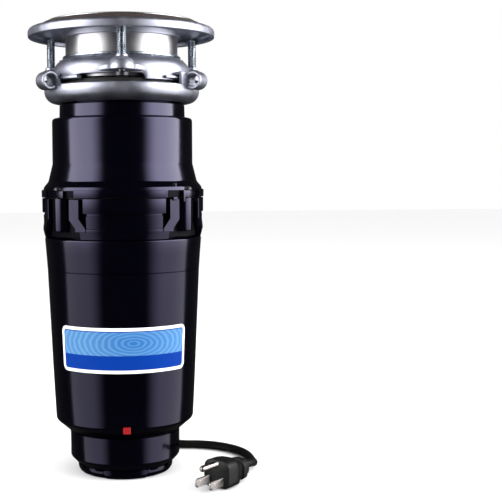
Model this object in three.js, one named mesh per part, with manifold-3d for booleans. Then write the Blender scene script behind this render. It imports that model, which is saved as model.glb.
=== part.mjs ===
// A kitchen garbage disposal with its sink mount, motor, grinding parts and power cord.
// Millimetres, +Z up, the front with the label and the reset button facing -Y.
// The origin is on the axis, in the plane that the bottom of the disposal stands on.
import * as THREE from "three";
import { mergeVertices } from "three/addons/utils/BufferGeometryUtils.js";
import Module from "manifold-3d";

const wasm = await Module();
wasm.setup();

// ---- Driving dimensions ----

const gap = 0.3; // between pieces that touch
const wall = 2.6; // moulded housing walls
const ringSides = 32; // facets of the large round pieces
const motorSides = 24; // facets of the pieces inside the motor
const smallSides = 12; // facets of the small round pieces

const sleeveRadius = 43; // of the sink flange: the other large radii are set out from it
const beltRadius = sleeveRadius + 19; // the band under the housing's seam

// Bottom cap
const bodyBottomRadius = beltRadius - 8.7;
const footRadius = bodyBottomRadius - 16.7;
const footHeight = 5.6;
const capRadius = bodyBottomRadius - 10.9;
const capChamferTop = footHeight + 6.7;
const capTop = 32;

// Lower housing: a short cone, then a long slow taper, and a band of lobes below the seam
const coneTop = capTop + 9.3;
const labelLowRadius = beltRadius - 6.6;
const labelLowHeight = coneTop + 43.7;
const bodyMiddleRadius = beltRadius - 4.6;
const bodyMiddleHeight = labelLowHeight + 45;
const bodyTopRadius = beltRadius - 1.6;
const bodyLength = 147;
const bodyTop = capTop + bodyLength;
const bandRadius = beltRadius - 1;
const bandBottom = bodyTop + 5;
const beltBottom = bandBottom + 17;
const seam = beltBottom + 10.5;
const bandInnerRadius = beltRadius - 4.4;

// Screw lobes round the seam
const lobeAngles = [218, 322, 90];
const lobeRadius = beltRadius + 1.9;
const lobeHalfAngle = 21;
const lobeBottom = bandBottom + 2;
const lobeTop = seam + 5.7;
const housingScrewCircle = beltRadius - 1.4;
const housingScrewRadius = 1.8;
const housingScrewHeadRadius = housingScrewRadius + 1.6;
const housingScrewLength = 26;

// Upper housing
const flangeRadius = beltRadius + 0.5;
const flangeTop = seam + 6;
const shoulderRadius = beltRadius - 5;
const shoulderTop = flangeTop + 6.5;
const drumRadius = sleeveRadius + 10.9;
const drumBottom = shoulderTop + 13;
const drumLength = 35;
const drumTop = drumBottom + drumLength;
const neckRadius = sleeveRadius + 5;
const neckTop = drumTop + 10;
const grooveRadius = sleeveRadius + 1;
const lipBottom = neckTop + 4;
const lipRadius = sleeveRadius + 7;
const lipTop = lipBottom + 4;
const throatRadius = sleeveRadius - 1.7;

// Waste outlet and dishwasher inlet, both behind
const outletAngle = 50;
const outletHeight = bandBottom - 1;
const outletBore = 16;
const outletWall = 4;
const outletReach = bandRadius + 9;
const inletHeight = drumTop - 17;
const inletBore = 8;
const inletWall = 2.5;
const inletReach = drumRadius + 16.1;

// Grinding parts
const linerWall = 1.5;
const grindRingBottom = seam - 11.5;
const grindRingTop = grindRingBottom + 16;
const grindRingBore = bandInnerRadius - 13.6;
const grindTeeth = 24;
const turntableBottom = grindRingBottom + 0.5;
const turntableThickness = 3;
const impellerPivotRadius = grindRingBore - 17;
const impellerReach = 12;
const impellerHeight = 9.2;
const impellerPinRadius = 2.5;
const bowlTop = grindRingBottom - 0.5;
const bowlBottom = bowlTop - 36.2;
const bowlRadius = bandInnerRadius - 2.1;

// Motor
const shaftRadius = 6;
const shaftCollarRadius = shaftRadius + 2;
const shaftTop = turntableBottom + 15.5;
const canRadius = bodyBottomRadius - 7.3;
const canWall = 2;
const canBottom = capTop + 26;
const canTop = bowlBottom - 5.3;
const shaftBottom = canBottom - 12;
const magnetRadius = canRadius - canWall - 0.8;
const magnetThickness = 4;
const magnetHalfAngle = 66;
const coreRadius = magnetRadius - magnetThickness - 0.3;
const coreBottom = canBottom + 30.3;
const coreTop = canTop - 23;
const coreSlots = 12;
const windingRadius = coreRadius - 4.9;
const windingHeight = 12;
const commutatorRadius = shaftCollarRadius + 5;
const commutatorBottom = canBottom + 4;
const commutatorHeight = 12;
const brushLength = canRadius - commutatorRadius - 19;
const brushSide = 7;
const springLength = 9;
const channelWall = 1.5;

// Label and reset button
const labelBottom = coneTop + 42.4;
const labelTop = labelBottom + 33.6;
const labelHalfAngle = 53;
const labelThickness = 0.6;
const buttonWidth = 5.5;
const buttonHeight = 5.2;
const buttonMiddle = coneTop - 0.2;
const buttonFront = bodyBottomRadius + 0.5;
const buttonTravel = 2.5;

// Sink mount
const sleeveWall = 1.5;
const mountGasketBottom = lipTop + gap;
const mountGasketTop = mountGasketBottom + 9.7;
const mountGasketRadius = sleeveRadius + 6.8;
const mountGasketBore = sleeveRadius - 5;
const sleeveBottom = mountGasketTop + 1;
const sinkFlangeRadius = sleeveRadius + 14;
const sinkFlangeTop = sleeveBottom + 45;
const sinkFlangeThickness = 2.2;
const gasketTop = sinkFlangeTop - sinkFlangeThickness - gap;
const gasketThickness = 3;
const gasketRadius = sleeveRadius + 18;
const backupRadius = sleeveRadius + 28.5;
const backupPlate = 2;
const backupRim = 6;
const backupCollar = 7.7;
const upperRingRadius = sleeveRadius + 9.4;
const upperRingBottom = sleeveBottom + 1;
const upperRingShoulder = upperRingBottom + 6.5;
const upperRingTop = upperRingBottom + 14.5;
const tabOuter = sleeveRadius + 12.8;
const tabBottom = upperRingBottom - 3;
const tabHalfAngle = 25;
const mountScrewAngles = [270, 30, 150];
const mountScrewCircle = sleeveRadius + 22;
const mountScrewRadius = 3.17;
const mountScrewHeadRadius = mountScrewRadius + 1.63;
const mountScrewHeadHeight = 3.2;
const bossWidth = 15;
const bossPostRadius = mountScrewRadius + 3.23;
const bossTop = upperRingBottom + 9;
const lowerRingRadius = sleeveRadius + 16;
const lowerRingInner = sleeveRadius + 13;
const lowerRingBottom = neckTop + 0.5;
const lowerRingTop = lowerRingBottom + 13.2;
const lowerRingLip = grooveRadius + 2;
const earAngles = [210, 330, 90];
const earCircle = sleeveRadius + 20.5;
const earRadius = 7.2;
const earWall = 2;
const earLength = 13;
const earHeight = lowerRingTop + 2.6;
const hookInner = sleeveRadius + 9.8;
const hookOuter = sleeveRadius + 17;
const hookThickness = 2.5;
const hookHalfAngle = 10;
const splashFloor = sinkFlangeTop - 25;
const splashBottom = splashFloor - 5;
const splashTop = splashFloor + 11;
const splashWall = 2.4;
const stopperKnobRadius = sleeveRadius - 22;
const stopperRimRadius = sleeveRadius - 9.4;
const stopperTop = sinkFlangeTop + 3.5;

// Cord: its route is chosen point by point where it isn't coiled
const cordRadius = 3.2;
const cordLow = cordRadius + 0.1;
const cordExitAngle = 70;
const cordExitHeight = 20;
const reliefLength = 24;
const coilCentre = [0, 125];
const coilMiddle = 38.5; // the coil's two turns lie either side of this radius
const coilHalf = 2 * cordRadius + 0.1;
const leadInRoute = [
  [...onCircle(capRadius + reliefLength + 0.45, cordExitAngle), cordExitHeight],
  [...onCircle(capRadius + reliefLength + 6, cordExitAngle), cordExitHeight - 0.4],
  [27.6, 75, 17.4],
  [30.3, 81, 14.8],
];
const runRoute = [
  [9.6, 76.4, cordLow],
  [19, 71.9, cordLow],
  [29, 65.4, cordLow],
  [38.5, 58.2, cordLow],
  [48.6, 52.8, cordLow],
  [62, 50.8, cordLow],
  [75.3, 45.4, cordLow],
  [86, 36.4, cordLow],
  [93, 26.6, cordLow],
  [97.3, 15.4, cordLow],
  [98.9, 3.6, cordLow],
  [99.2, -4, 3.6],
  [99.2, -12, 4.6],
  [98.5, -18.9, 6.3],
  [96.6, -25.6, 8.2],
  [93.5, -31.9, 9.4],
  [89.4, -37.4, 9.8],
];
const plugPlace = [89.1, -37.75, 9.8];
const plugTurn = 138;
const plugWidth = 23;
const plugHeight = 20.5;
const plugRelief = 15;
const plugLength = 20;
const bladeSpacing = 12.7;
const bladeLength = 16;
const bladeWidth = 6.35;
const bladeThickness = 1.5;
const groundPinRadius = 2.4;
const groundPinAbove = 11.9;

// ---- Materials ----

function finish(colour, roughness, metalness) {
  return new THREE.MeshStandardMaterial({ color: colour, roughness, metalness });
}

const blackPlastic = () => finish(0x0b0c10, 0.22, 0);
const satinMetal = () => finish(0xb9bcc0, 0.38, 1);
const zincSteel = () => finish(0xa9adb3, 0.34, 1);
const stainless = () => finish(0xc4c6c8, 0.25, 1);
const blackRubber = () => finish(0x101012, 0.7, 0);
const darkSteel = () => finish(0x5a5d61, 0.45, 1);
const copper = () => finish(0xb8643a, 0.4, 1);
const brass = () => finish(0xc8a860, 0.3, 1);

// ---- Geometry helpers ----

function radians(degrees) {
  return THREE.MathUtils.degToRad(degrees);
}

function onCircle(radius, degrees) {
  return [radius * Math.cos(radians(degrees)), radius * Math.sin(radians(degrees))];
}

// Shared vertices merged and flat triangles dropped, so that the mesh is one closed surface.
function weld(geometry) {
  const bare = geometry.clone();
  bare.deleteAttribute("normal");
  bare.deleteAttribute("uv");
  const merged = mergeVertices(bare, 1e-4);
  const index = merged.index.array;
  const kept = [];
  for (let i = 0; i < index.length; i += 3) {
    const [a, b, c] = [index[i], index[i + 1], index[i + 2]];
    if (a !== b && b !== c && c !== a) kept.push(a, b, c);
  }
  merged.setIndex(kept);
  return merged;
}

function toSolid(geometry) {
  const welded = weld(geometry);
  return new wasm.Manifold(
    new wasm.Mesh({
      numProp: 3,
      vertProperties: welded.attributes.position.array,
      triVerts: new Uint32Array(welded.index.array),
    }),
  );
}

function toGeometry(solid) {
  const made = solid.getMesh();
  const geometry = new THREE.BufferGeometry();
  geometry.setAttribute("position", new THREE.BufferAttribute(made.vertProperties, 3));
  geometry.setIndex(new THREE.BufferAttribute(made.triVerts, 1));
  geometry.computeVertexNormals();
  return geometry;
}

function joined(first, ...others) {
  let solid = toSolid(first);
  for (const other of others) solid = solid.add(toSolid(other));
  return toGeometry(solid);
}

function cut(body, ...tools) {
  let solid = toSolid(body);
  for (const tool of tools) solid = solid.subtract(toSolid(tool));
  return toGeometry(solid);
}

function common(first, second) {
  return toGeometry(toSolid(first).intersect(toSolid(second)));
}

// A closed outline of [radius, height] points turned round the Z axis. Either direction will do.
function turned(outline, sides = ringSides) {
  let area = 0;
  outline.forEach(([r, z], i) => {
    const [nextR, nextZ] = outline[(i + 1) % outline.length];
    area += r * nextZ - nextR * z;
  });
  const points = outline.map(([r, z]) => new THREE.Vector2(r, z));
  if (area < 0) points.reverse();
  const onAxis = points.some((p) => p.x === 0);
  if (!onAxis) points.push(points[0].clone());
  while (onAxis && !(points[0].x === 0 && points[points.length - 1].x === 0)) {
    points.push(points.shift());
  }
  return weld(new THREE.LatheGeometry(points, sides).rotateX(Math.PI / 2));
}

function washer(inner, outer, bottom, top, sides = ringSides) {
  return turned([[inner, bottom], [outer, bottom], [outer, top], [inner, top]], sides);
}

function rod(radius, bottom, top, sides = smallSides) {
  return turned([[0, bottom], [radius, bottom], [radius, top], [0, top]], sides);
}

function block(width, depth, height, x, y, z) {
  return new THREE.BoxGeometry(width, depth, height).translate(x, y, z);
}

// A flat shape raised from one height to another.
function raised(shape, bottom, top, steps = 12) {
  const options = { depth: top - bottom, bevelEnabled: false, curveSegments: steps };
  return new THREE.ExtrudeGeometry(shape, options).translate(0, 0, bottom);
}

// Part of a ring between two radii, centred on an angle.
function sector(inner, outer, middle, halfAngle, bottom, top) {
  const [from, to] = [radians(middle - halfAngle), radians(middle + halfAngle)];
  const shape = new THREE.Shape();
  shape.absarc(0, 0, outer, from, to, false);
  shape.absarc(0, 0, inner, to, from, true);
  return raised(shape, bottom, top, Math.max(2, Math.ceil(halfAngle / 5)));
}

// A round rod lying along the radius at an angle, from one distance to another.
function radialRod(radius, angle, height, from, to, sides = smallSides) {
  return rod(radius, from, to, sides)
    .rotateY(Math.PI / 2)
    .rotateZ(radians(angle))
    .translate(0, 0, height);
}

// The outer surface of the long taper, which the label follows.
function bodyRadius(height) {
  if (height < labelLowHeight) {
    const share = (height - coneTop) / (labelLowHeight - coneTop);
    return bodyBottomRadius + share * (labelLowRadius - bodyBottomRadius);
  }
  const share = (height - labelLowHeight) / (bodyMiddleHeight - labelLowHeight);
  return labelLowRadius + share * (bodyMiddleRadius - labelLowRadius);
}

// ---- The part ----

const part = new THREE.Group();

function add(name, geometry, material, place = [0, 0, 0], turn = 0) {
  const mesh = new THREE.Mesh(geometry, material);
  mesh.name = name;
  mesh.position.set(...place);
  mesh.rotation.z = radians(turn);
  part.add(mesh);
}

// ---- Housing ----

function bottomCap() {
  const inner = capRadius - 3;
  const shell = turned([
    [0, 0],
    [footRadius - 1, 0],
    [footRadius, 1],
    [footRadius, footHeight],
    [capRadius - 0.1, capChamferTop],
    [capRadius, capTop],
    [inner, capTop],
    [inner, capChamferTop + 2],
    [footRadius - 3, footHeight],
    [footRadius - 3, 3],
    [0, 3],
  ]);
  const exitHole = radialRod(cordRadius + 4.3, cordExitAngle, cordExitHeight, capRadius - 12, capRadius + 8);
  return cut(shell, exitHole);
}

function lobes(bottom, top, inner) {
  return lobeAngles.map((angle) => sector(inner, lobeRadius, angle, lobeHalfAngle, bottom, top));
}

function housingScrewHoles(bottom, top, radius) {
  return lobeAngles.map((angle) => {
    const [x, y] = onCircle(housingScrewCircle, angle);
    return rod(radius, bottom, top, 12).translate(x, y, 0);
  });
}

function lowerHousing() {
  const bottom = capTop + gap;
  const top = seam - gap / 2;
  const shell = turned([
    [capRadius + 0.2, bottom],
    [bodyBottomRadius, coneTop],
    [labelLowRadius, labelLowHeight],
    [bodyMiddleRadius, bodyMiddleHeight],
    [bodyTopRadius, bodyTop],
    [bandRadius, bandBottom],
    [bandRadius, beltBottom - 2],
    [beltRadius, beltBottom],
    [beltRadius, top],
    [bandInnerRadius, top],
    [bandInnerRadius, bandBottom],
    [bodyTopRadius - wall, bodyTop],
    [bodyMiddleRadius - wall, bodyMiddleHeight],
    [labelLowRadius - wall, labelLowHeight],
    [bodyBottomRadius - wall, coneTop + 1],
    [capRadius, bottom + wall],
    [footRadius - 6.6, bottom + wall],
    [footRadius - 6.6, bottom],
  ]);
  const nozzleStart = bandInnerRadius + 0.4;
  const nozzleRadius = outletBore + outletWall;
  const nozzle = radialRod(nozzleRadius, outletAngle, outletHeight, nozzleStart, outletReach, ringSides);
  const bore = radialRod(outletBore, outletAngle, outletHeight, bowlRadius - 10, outletReach + 1, ringSides);
  const slack = 2 * gap;
  const buttonHole = block(
    buttonWidth + slack, 20, buttonHeight + slack,
    0, -bodyBottomRadius + 3, buttonMiddle,
  );
  const whole = joined(shell, nozzle, ...lobes(lobeBottom, top, bandInnerRadius + 1));
  const holes = housingScrewHoles(lobeTop - housingScrewLength - 1, top + 1, housingScrewRadius + gap);
  return cut(whole, bore, buttonHole, ...holes);
}

function upperHousing() {
  const bottom = seam + gap / 2;
  const shell = turned([
    [flangeRadius, bottom],
    [flangeRadius, flangeTop],
    [shoulderRadius, shoulderTop],
    [drumRadius, drumBottom],
    [drumRadius, drumTop - 2.5],
    [drumRadius - 0.8, drumTop - 0.8],
    [drumRadius - 2.5, drumTop],
    [neckRadius, drumTop],
    [neckRadius, neckTop],
    [grooveRadius, neckTop],
    [grooveRadius, lipBottom],
    [lipRadius, lipBottom],
    [lipRadius, lipTop],
    [throatRadius, lipTop],
    [throatRadius, neckTop - 1],
    [neckRadius - wall, neckTop - 4],
    [neckRadius - wall, drumTop - wall],
    [drumRadius - wall, drumTop - wall - 2],
    [drumRadius - wall, drumBottom - 12],
    [bandInnerRadius, flangeTop - 1],
    [bandInnerRadius, bottom],
  ]);
  const nipple = radialRod(inletBore + inletWall, 90, inletHeight, drumRadius - 1, inletReach);
  const bore = radialRod(inletBore, 90, inletHeight, drumRadius - 14, inletReach + 1);
  const whole = joined(shell, nipple, ...lobes(bottom, lobeTop, bandInnerRadius + 1));
  const holes = housingScrewHoles(bottom - 1, lobeTop + 1, housingScrewRadius + gap);
  const seats = housingScrewHoles(lobeTop, shoulderTop + 3, housingScrewHeadRadius + 2 * gap);
  return cut(whole, bore, ...holes, ...seats);
}

function housingScrew() {
  const top = lobeTop + gap + 2.6;
  return turned([
    [0, lobeTop - housingScrewLength],
    [housingScrewRadius, lobeTop - housingScrewLength],
    [housingScrewRadius, lobeTop + gap],
    [housingScrewHeadRadius, lobeTop + gap],
    [housingScrewHeadRadius, top - 0.8],
    [housingScrewHeadRadius - 1.2, top],
    [0, top],
  ], 12);
}

function label() {
  const [inner, outer] = [gap, gap + labelThickness];
  const shell = turned([
    [bodyRadius(labelBottom) + inner, labelBottom],
    [bodyRadius(labelBottom) + outer, labelBottom],
    [bodyRadius(labelTop) + outer, labelTop],
    [bodyRadius(labelTop) + inner, labelTop],
  ]);
  const [low, high] = [labelBottom - 1, labelTop + 1];
  const slice = sector(labelLowRadius - 15, beltRadius + 8, 270, labelHalfAngle, low, high);
  return common(shell, slice);
}

function buildHousing() {
  add("bottom_cap", bottomCap(), blackPlastic());
  add("lower_housing", lowerHousing(), blackPlastic());
  add("upper_housing", upperHousing(), blackPlastic());
  const seal = washer(bandInnerRadius - 2.7, bandInnerRadius - gap, seam - 3, seam + 3);
  add("housing_seal", seal, blackRubber());
  lobeAngles.forEach((angle, i) => {
    const [x, y] = onCircle(housingScrewCircle, angle);
    add(`housing_screw_${i + 1}`, housingScrew(), zincSteel(), [x, y, 0], angle);
  });
  add("label_plate", label(), finish(0x2a6fb4, 0.4, 0));
  const inletPlug = radialRod(inletBore - gap, 90, inletHeight, drumRadius - wall, drumRadius);
  add("inlet_plug", inletPlug, blackPlastic());
}

// ---- Reset button and overload breaker ----

function buildReset() {
  const depth = 11;
  const button = block(buttonWidth, depth, buttonHeight, 0, -buttonFront + depth / 2, buttonMiddle);
  add("reset_button", button, finish(0xc4181c, 0.35, 0));
  const face = buttonFront - depth - buttonTravel - gap;
  const [breakerDepth, breakerHeight] = [12, 12];
  const floor = capTop + wall + 2 * gap;
  const breaker = block(
    16, breakerDepth, breakerHeight,
    0, breakerDepth / 2 - face, floor + breakerHeight / 2,
  );
  add("overload_breaker", breaker, finish(0x1b1b1e, 0.6, 0));
}

// ---- Grinding parts ----

function grindRing() {
  const outer = bandInnerRadius - 3.2;
  const ring = washer(grindRingBore, outer, grindRingBottom, grindRingTop);
  const teeth = [];
  for (let i = 0; i < grindTeeth; i++) {
    const angle = (360 / grindTeeth) * i;
    const tooth = block(3.6, 4, 10, grindRingBore + 1, 0, grindRingBottom + 8);
    teeth.push(tooth.rotateZ(radians(angle)));
  }
  return cut(ring, ...teeth);
}

function turntable() {
  const top = turntableBottom + turntableThickness;
  const plate = turned([
    [shaftRadius + gap, turntableBottom],
    [grindRingBore - 0.6, turntableBottom],
    [grindRingBore - 0.6, top],
    [shaftRadius + 4, top],
    [shaftRadius + 4, top + 2.5],
    [shaftRadius + gap, top + 2.5],
  ]);
  const holes = [0, 180].map((angle) => {
    const [x, y] = onCircle(impellerPivotRadius, angle);
    return rod(impellerPinRadius + gap, turntableBottom - 1, top + 1).translate(x, y, 0);
  });
  const drains = [60, 120, 240, 300].map((angle) => {
    const [x, y] = onCircle(impellerPivotRadius + 8, angle);
    return rod(2.5, turntableBottom - 1, top + 1, 12).translate(x, y, 0);
  });
  return cut(plate, ...holes, ...drains);
}

// A lug that swings about its pin: round at the pin, with a square striking end.
function impeller() {
  const shape = new THREE.Shape();
  shape.moveTo(impellerReach, -6);
  shape.lineTo(impellerReach, 5);
  shape.lineTo(0, 6.5);
  shape.absarc(0, 0, 6.5, Math.PI / 2, (3 * Math.PI) / 2, false);
  shape.closePath();
  const hole = new THREE.Path();
  hole.absarc(0, 0, impellerPinRadius + gap, 0, 2 * Math.PI, true);
  shape.holes.push(hole);
  const bottom = turntableBottom + turntableThickness + gap;
  return raised(shape, bottom, bottom + impellerHeight);
}

function impellerPin() {
  const plateTop = turntableBottom + turntableThickness;
  const headBottom = plateTop + 2 * gap + impellerHeight;
  return turned([
    [0, turntableBottom - 2],
    [4, turntableBottom - 2],
    [4, turntableBottom - gap],
    [impellerPinRadius, turntableBottom - gap],
    [impellerPinRadius, headBottom],
    [4.2, headBottom],
    [4.2, headBottom + 1],
    [3.2, headBottom + 1.8],
    [0, headBottom + 1.8],
  ], smallSides);
}

function turntableNut() {
  const bottom = turntableBottom + turntableThickness + 2.5 + gap;
  const nut = new THREE.CylinderGeometry(shaftRadius + 5, shaftRadius + 5, 6, 6).rotateX(Math.PI / 2);
  return cut(nut.translate(0, 0, bottom + 3), rod(shaftRadius + gap, bottom - 1, bottom + 8));
}

function hopperLiner() {
  const outer = drumRadius - wall - gap;
  const tube = washer(outer - linerWall, outer, grindRingTop + gap, drumTop - wall - 2.4);
  return cut(tube, radialRod(inletBore + 1, 90, inletHeight, drumRadius - 14, drumRadius + 6));
}

function drainBowl() {
  const bowl = turned([
    [shaftCollarRadius + 4, bowlBottom],
    [bowlRadius - 1.5, bowlBottom],
    [bowlRadius, bowlBottom + 1.5],
    [bowlRadius, bowlTop],
    [bowlRadius - 2.5, bowlTop],
    [bowlRadius - 2.5, bowlBottom + 3.5],
    [shaftCollarRadius + 8, bowlBottom + 3],
    [shaftCollarRadius + 7.5, bowlBottom + 16.7],
    [shaftCollarRadius + 4, bowlBottom + 16.7],
  ]);
  const [from, to] = [bowlRadius - 10, bowlRadius + 5];
  const outlet = radialRod(outletBore, outletAngle, outletHeight, from, to, ringSides);
  return cut(bowl, outlet);
}

function buildGrinder() {
  add("hopper_liner", hopperLiner(), stainless());
  add("grind_ring", grindRing(), darkSteel());
  add("turntable", turntable(), stainless());
  [0, 180].forEach((angle, i) => {
    const [x, y] = onCircle(impellerPivotRadius, angle);
    add(`impeller_${i + 1}`, impeller(), stainless(), [x, y, 0], angle);
    add(`impeller_pin_${i + 1}`, impellerPin(), zincSteel(), [x, y, 0]);
  });
  add("turntable_nut", turntableNut(), zincSteel());
  add("drain_bowl", drainBowl(), blackPlastic());
  const [sealInner, sealOuter] = [shaftCollarRadius + gap, shaftCollarRadius + 4 - gap];
  const seal = washer(sealInner, sealOuter, bowlBottom + 4, bowlBottom + 14, smallSides);
  add("shaft_seal", seal, blackRubber());
}

// ---- Motor ----

function shaft() {
  return turned([
    [0, shaftBottom],
    [shaftRadius, shaftBottom],
    [shaftRadius, canBottom],
    [shaftCollarRadius, canBottom],
    [shaftCollarRadius, grindRingBottom],
    [shaftRadius, grindRingBottom],
    [shaftRadius, shaftTop - 1],
    [shaftRadius - 1, shaftTop],
    [0, shaftTop],
  ], smallSides);
}

function upperEndBell() {
  const bottom = canTop + gap;
  return turned([
    [shaftCollarRadius + 5 + gap, bottom],
    [canRadius, bottom],
    [canRadius, bowlBottom - gap],
    [shaftCollarRadius + 1, bowlBottom - gap],
    [shaftCollarRadius + 1, bowlBottom - 1.5],
    [shaftCollarRadius + 5 + gap, bowlBottom - 1.5],
  ], motorSides);
}

function lowerEndBell() {
  const top = canBottom - gap;
  const plate = turned([
    [shaftRadius + 5 + gap, top - 7],
    [canRadius, top - 7],
    [canRadius, top],
    [shaftRadius + 5 + gap, top],
  ], motorSides);
  const legBottom = capTop + gap + wall + gap;
  const legs = [90, 200, 340].map((angle) => {
    const [x, y] = onCircle(canRadius - 10, angle);
    return rod(3.6, legBottom, top - 6).translate(x, y, 0);
  });
  return joined(plate, ...legs);
}

function armatureCore() {
  const core = washer(shaftCollarRadius + gap, coreRadius, coreBottom, coreTop, motorSides);
  const slots = [];
  for (let i = 0; i < coreSlots; i++) {
    const slot = block(12, 2.6, coreTop - coreBottom + 4, coreRadius - 4, 0, (coreBottom + coreTop) / 2);
    slots.push(slot.rotateZ(radians((360 / coreSlots) * (i + 0.5))));
  }
  return cut(core, ...slots);
}

function winding(bottom) {
  const inner = shaftCollarRadius + 2;
  return turned([
    [inner, bottom],
    [windingRadius - 3, bottom],
    [windingRadius, bottom + 3],
    [windingRadius, bottom + windingHeight - 3],
    [windingRadius - 3, bottom + windingHeight],
    [inner, bottom + windingHeight],
  ], motorSides);
}

function brushSpring() {
  class Coil extends THREE.Curve {
    getPoint(t, target = new THREE.Vector3()) {
      const angle = 2 * Math.PI * 5 * t;
      return target.set(springLength * t, 2.4 * Math.cos(angle), 2.4 * Math.sin(angle));
    }
  }
  const section = new THREE.Shape();
  section.absarc(0, 0, 0.45, 0, 2 * Math.PI);
  const options = { steps: 30, extrudePath: new Coil(), curveSegments: 2, bevelEnabled: false };
  return new THREE.ExtrudeGeometry(section, options);
}

// An insulating plate that carries two open channels, in which the brushes slide.
function brushPlate() {
  const bottom = canBottom + gap;
  const plate = washer(commutatorRadius + 3, magnetRadius - 1, bottom, bottom + 2, motorSides);
  const middle = commutatorBottom + commutatorHeight / 2;
  const hollowEnd = commutatorRadius + brushLength + springLength + 2.5;
  const hollowSide = brushSide + 2 * gap;
  const channelStart = commutatorRadius + 3;
  const channelLength = hollowEnd + channelWall - channelStart;
  const channelHeight = middle + brushSide / 2 - bottom;
  const channels = [0, 180].map((angle) => {
    const width = hollowSide + 2 * channelWall;
    const outer = block(
      channelLength, width, channelHeight,
      channelStart + channelLength / 2, 0, bottom + channelHeight / 2,
    );
    return outer.rotateZ(radians(angle));
  });
  const hollows = [0, 180].map((angle) => {
    const hollow = block(hollowEnd, hollowSide, hollowSide + 2, hollowEnd / 2, 0, middle + 1);
    return hollow.rotateZ(radians(angle));
  });
  return cut(joined(plate, ...channels), ...hollows);
}

function buildMotor() {
  add("shaft", shaft(), zincSteel());
  add("motor_can", washer(canRadius - canWall, canRadius, canBottom, canTop, motorSides), darkSteel());
  add("upper_end_bell", upperEndBell(), satinMetal());
  add("lower_end_bell", lowerEndBell(), satinMetal());
  const bearing = (bore, bottom, top) => washer(bore + gap, bore + 5, bottom, top, smallSides);
  add("upper_bearing", bearing(shaftCollarRadius, canTop - 4, bowlBottom - 1.8), stainless());
  add("lower_bearing", bearing(shaftRadius, canBottom - 7, canBottom - gap), stainless());
  [90, 270].forEach((angle, i) => {
    const magnet = sector(
      magnetRadius - magnetThickness, magnetRadius, angle, magnetHalfAngle,
      coreBottom - 4, coreTop + 4,
    );
    add(`magnet_${i + 1}`, magnet, finish(0x2b2b2e, 0.7, 0.2));
  });
  add("armature_core", armatureCore(), darkSteel());
  add("winding_upper", winding(coreTop + gap), copper());
  add("winding_lower", winding(coreBottom - gap - windingHeight), copper());
  const commutator = washer(
    shaftCollarRadius + gap, commutatorRadius,
    commutatorBottom, commutatorBottom + commutatorHeight, smallSides,
  );
  add("commutator", commutator, copper());
  add("brush_plate", brushPlate(), finish(0x6b3a1e, 0.6, 0));
  const middle = commutatorBottom + commutatorHeight / 2;
  [0, 180].forEach((angle, i) => {
    const from = commutatorRadius + gap;
    const brush = block(brushLength, brushSide, brushSide, from + brushLength / 2, 0, middle);
    add(`brush_${i + 1}`, brush, finish(0x242424, 0.55, 0.3), [0, 0, 0], angle);
    const [x, y] = onCircle(from + brushLength + 1, angle);
    add(`brush_spring_${i + 1}`, brushSpring(), zincSteel(), [x, y, middle], angle);
  });
}

// ---- Sink mount ----

function sinkFlange() {
  const inner = sleeveRadius - sleeveWall;
  const underside = sinkFlangeTop - sinkFlangeThickness;
  return turned([
    [inner, sleeveBottom],
    [sleeveRadius, sleeveBottom],
    [sleeveRadius, underside],
    [sinkFlangeRadius, underside],
    [sinkFlangeRadius, sinkFlangeTop - 0.8],
    [sinkFlangeRadius - 1.5, sinkFlangeTop],
    [inner + 3.5, sinkFlangeTop - 0.6],
    [inner, sinkFlangeTop - 5],
  ]);
}

function backupFlange() {
  const top = gasketTop - gasketThickness - gap;
  const bore = sleeveRadius + gap;
  return turned([
    [backupRadius, top - backupRim],
    [backupRadius, top],
    [bore, top],
    [bore, top - backupCollar],
    [bore + 2, top - backupCollar],
    [bore + 2, top - backupPlate],
    [backupRadius - 2, top - backupPlate],
    [backupRadius - 2, top - backupRim],
  ]);
}

function upperMountingRing() {
  const inner = upperRingRadius - 2;
  const bore = sleeveRadius + 0.6;
  const band = turned([
    [upperRingRadius, tabBottom],
    [upperRingRadius, upperRingShoulder],
    [upperRingRadius - 3, upperRingTop - 3],
    [bore + 0.8, upperRingTop],
    [bore, upperRingTop - 0.6],
    [bore, upperRingTop - 2.4],
    [inner - 2.4, upperRingShoulder + 2.6],
    [inner, upperRingShoulder - 1],
    [inner, tabBottom],
  ]);
  const tabs = earAngles.map((angle) => {
    return sector(inner, tabOuter, angle, tabHalfAngle, tabBottom, upperRingBottom - 0.5);
  });
  const bosses = mountScrewAngles.map((angle) => {
    const [x, y] = onCircle(mountScrewCircle, angle);
    const arm = block(mountScrewCircle - inner, bossWidth, bossTop - upperRingBottom, 0, 0, 0);
    const middle = (mountScrewCircle + inner) / 2;
    arm.translate(middle, 0, (bossTop + upperRingBottom) / 2).rotateZ(radians(angle));
    const post = rod(bossPostRadius, upperRingBottom, bossTop + 3).translate(x, y, 0);
    return joined(arm, post);
  });
  const holes = mountScrewAngles.map((angle) => {
    const [x, y] = onCircle(mountScrewCircle, angle);
    return rod(mountScrewRadius + gap, tabBottom, bossTop + 10).translate(x, y, 0);
  });
  return cut(joined(band, ...tabs, ...bosses), ...holes);
}

function mountScrew() {
  const top = gasketTop - gasketThickness - backupPlate - 3 * gap;
  const headTop = upperRingBottom - gap;
  const headBottom = headTop - mountScrewHeadHeight;
  const body = turned([
    [0, headBottom],
    [mountScrewHeadRadius, headBottom],
    [mountScrewHeadRadius, headTop],
    [mountScrewRadius, headTop],
    [mountScrewRadius, top - 1],
    [mountScrewRadius - 1, top],
    [0, top],
  ], smallSides);
  return cut(body, block(14, 1.4, 1.6, 0, 0, headBottom + 0.4));
}

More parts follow.
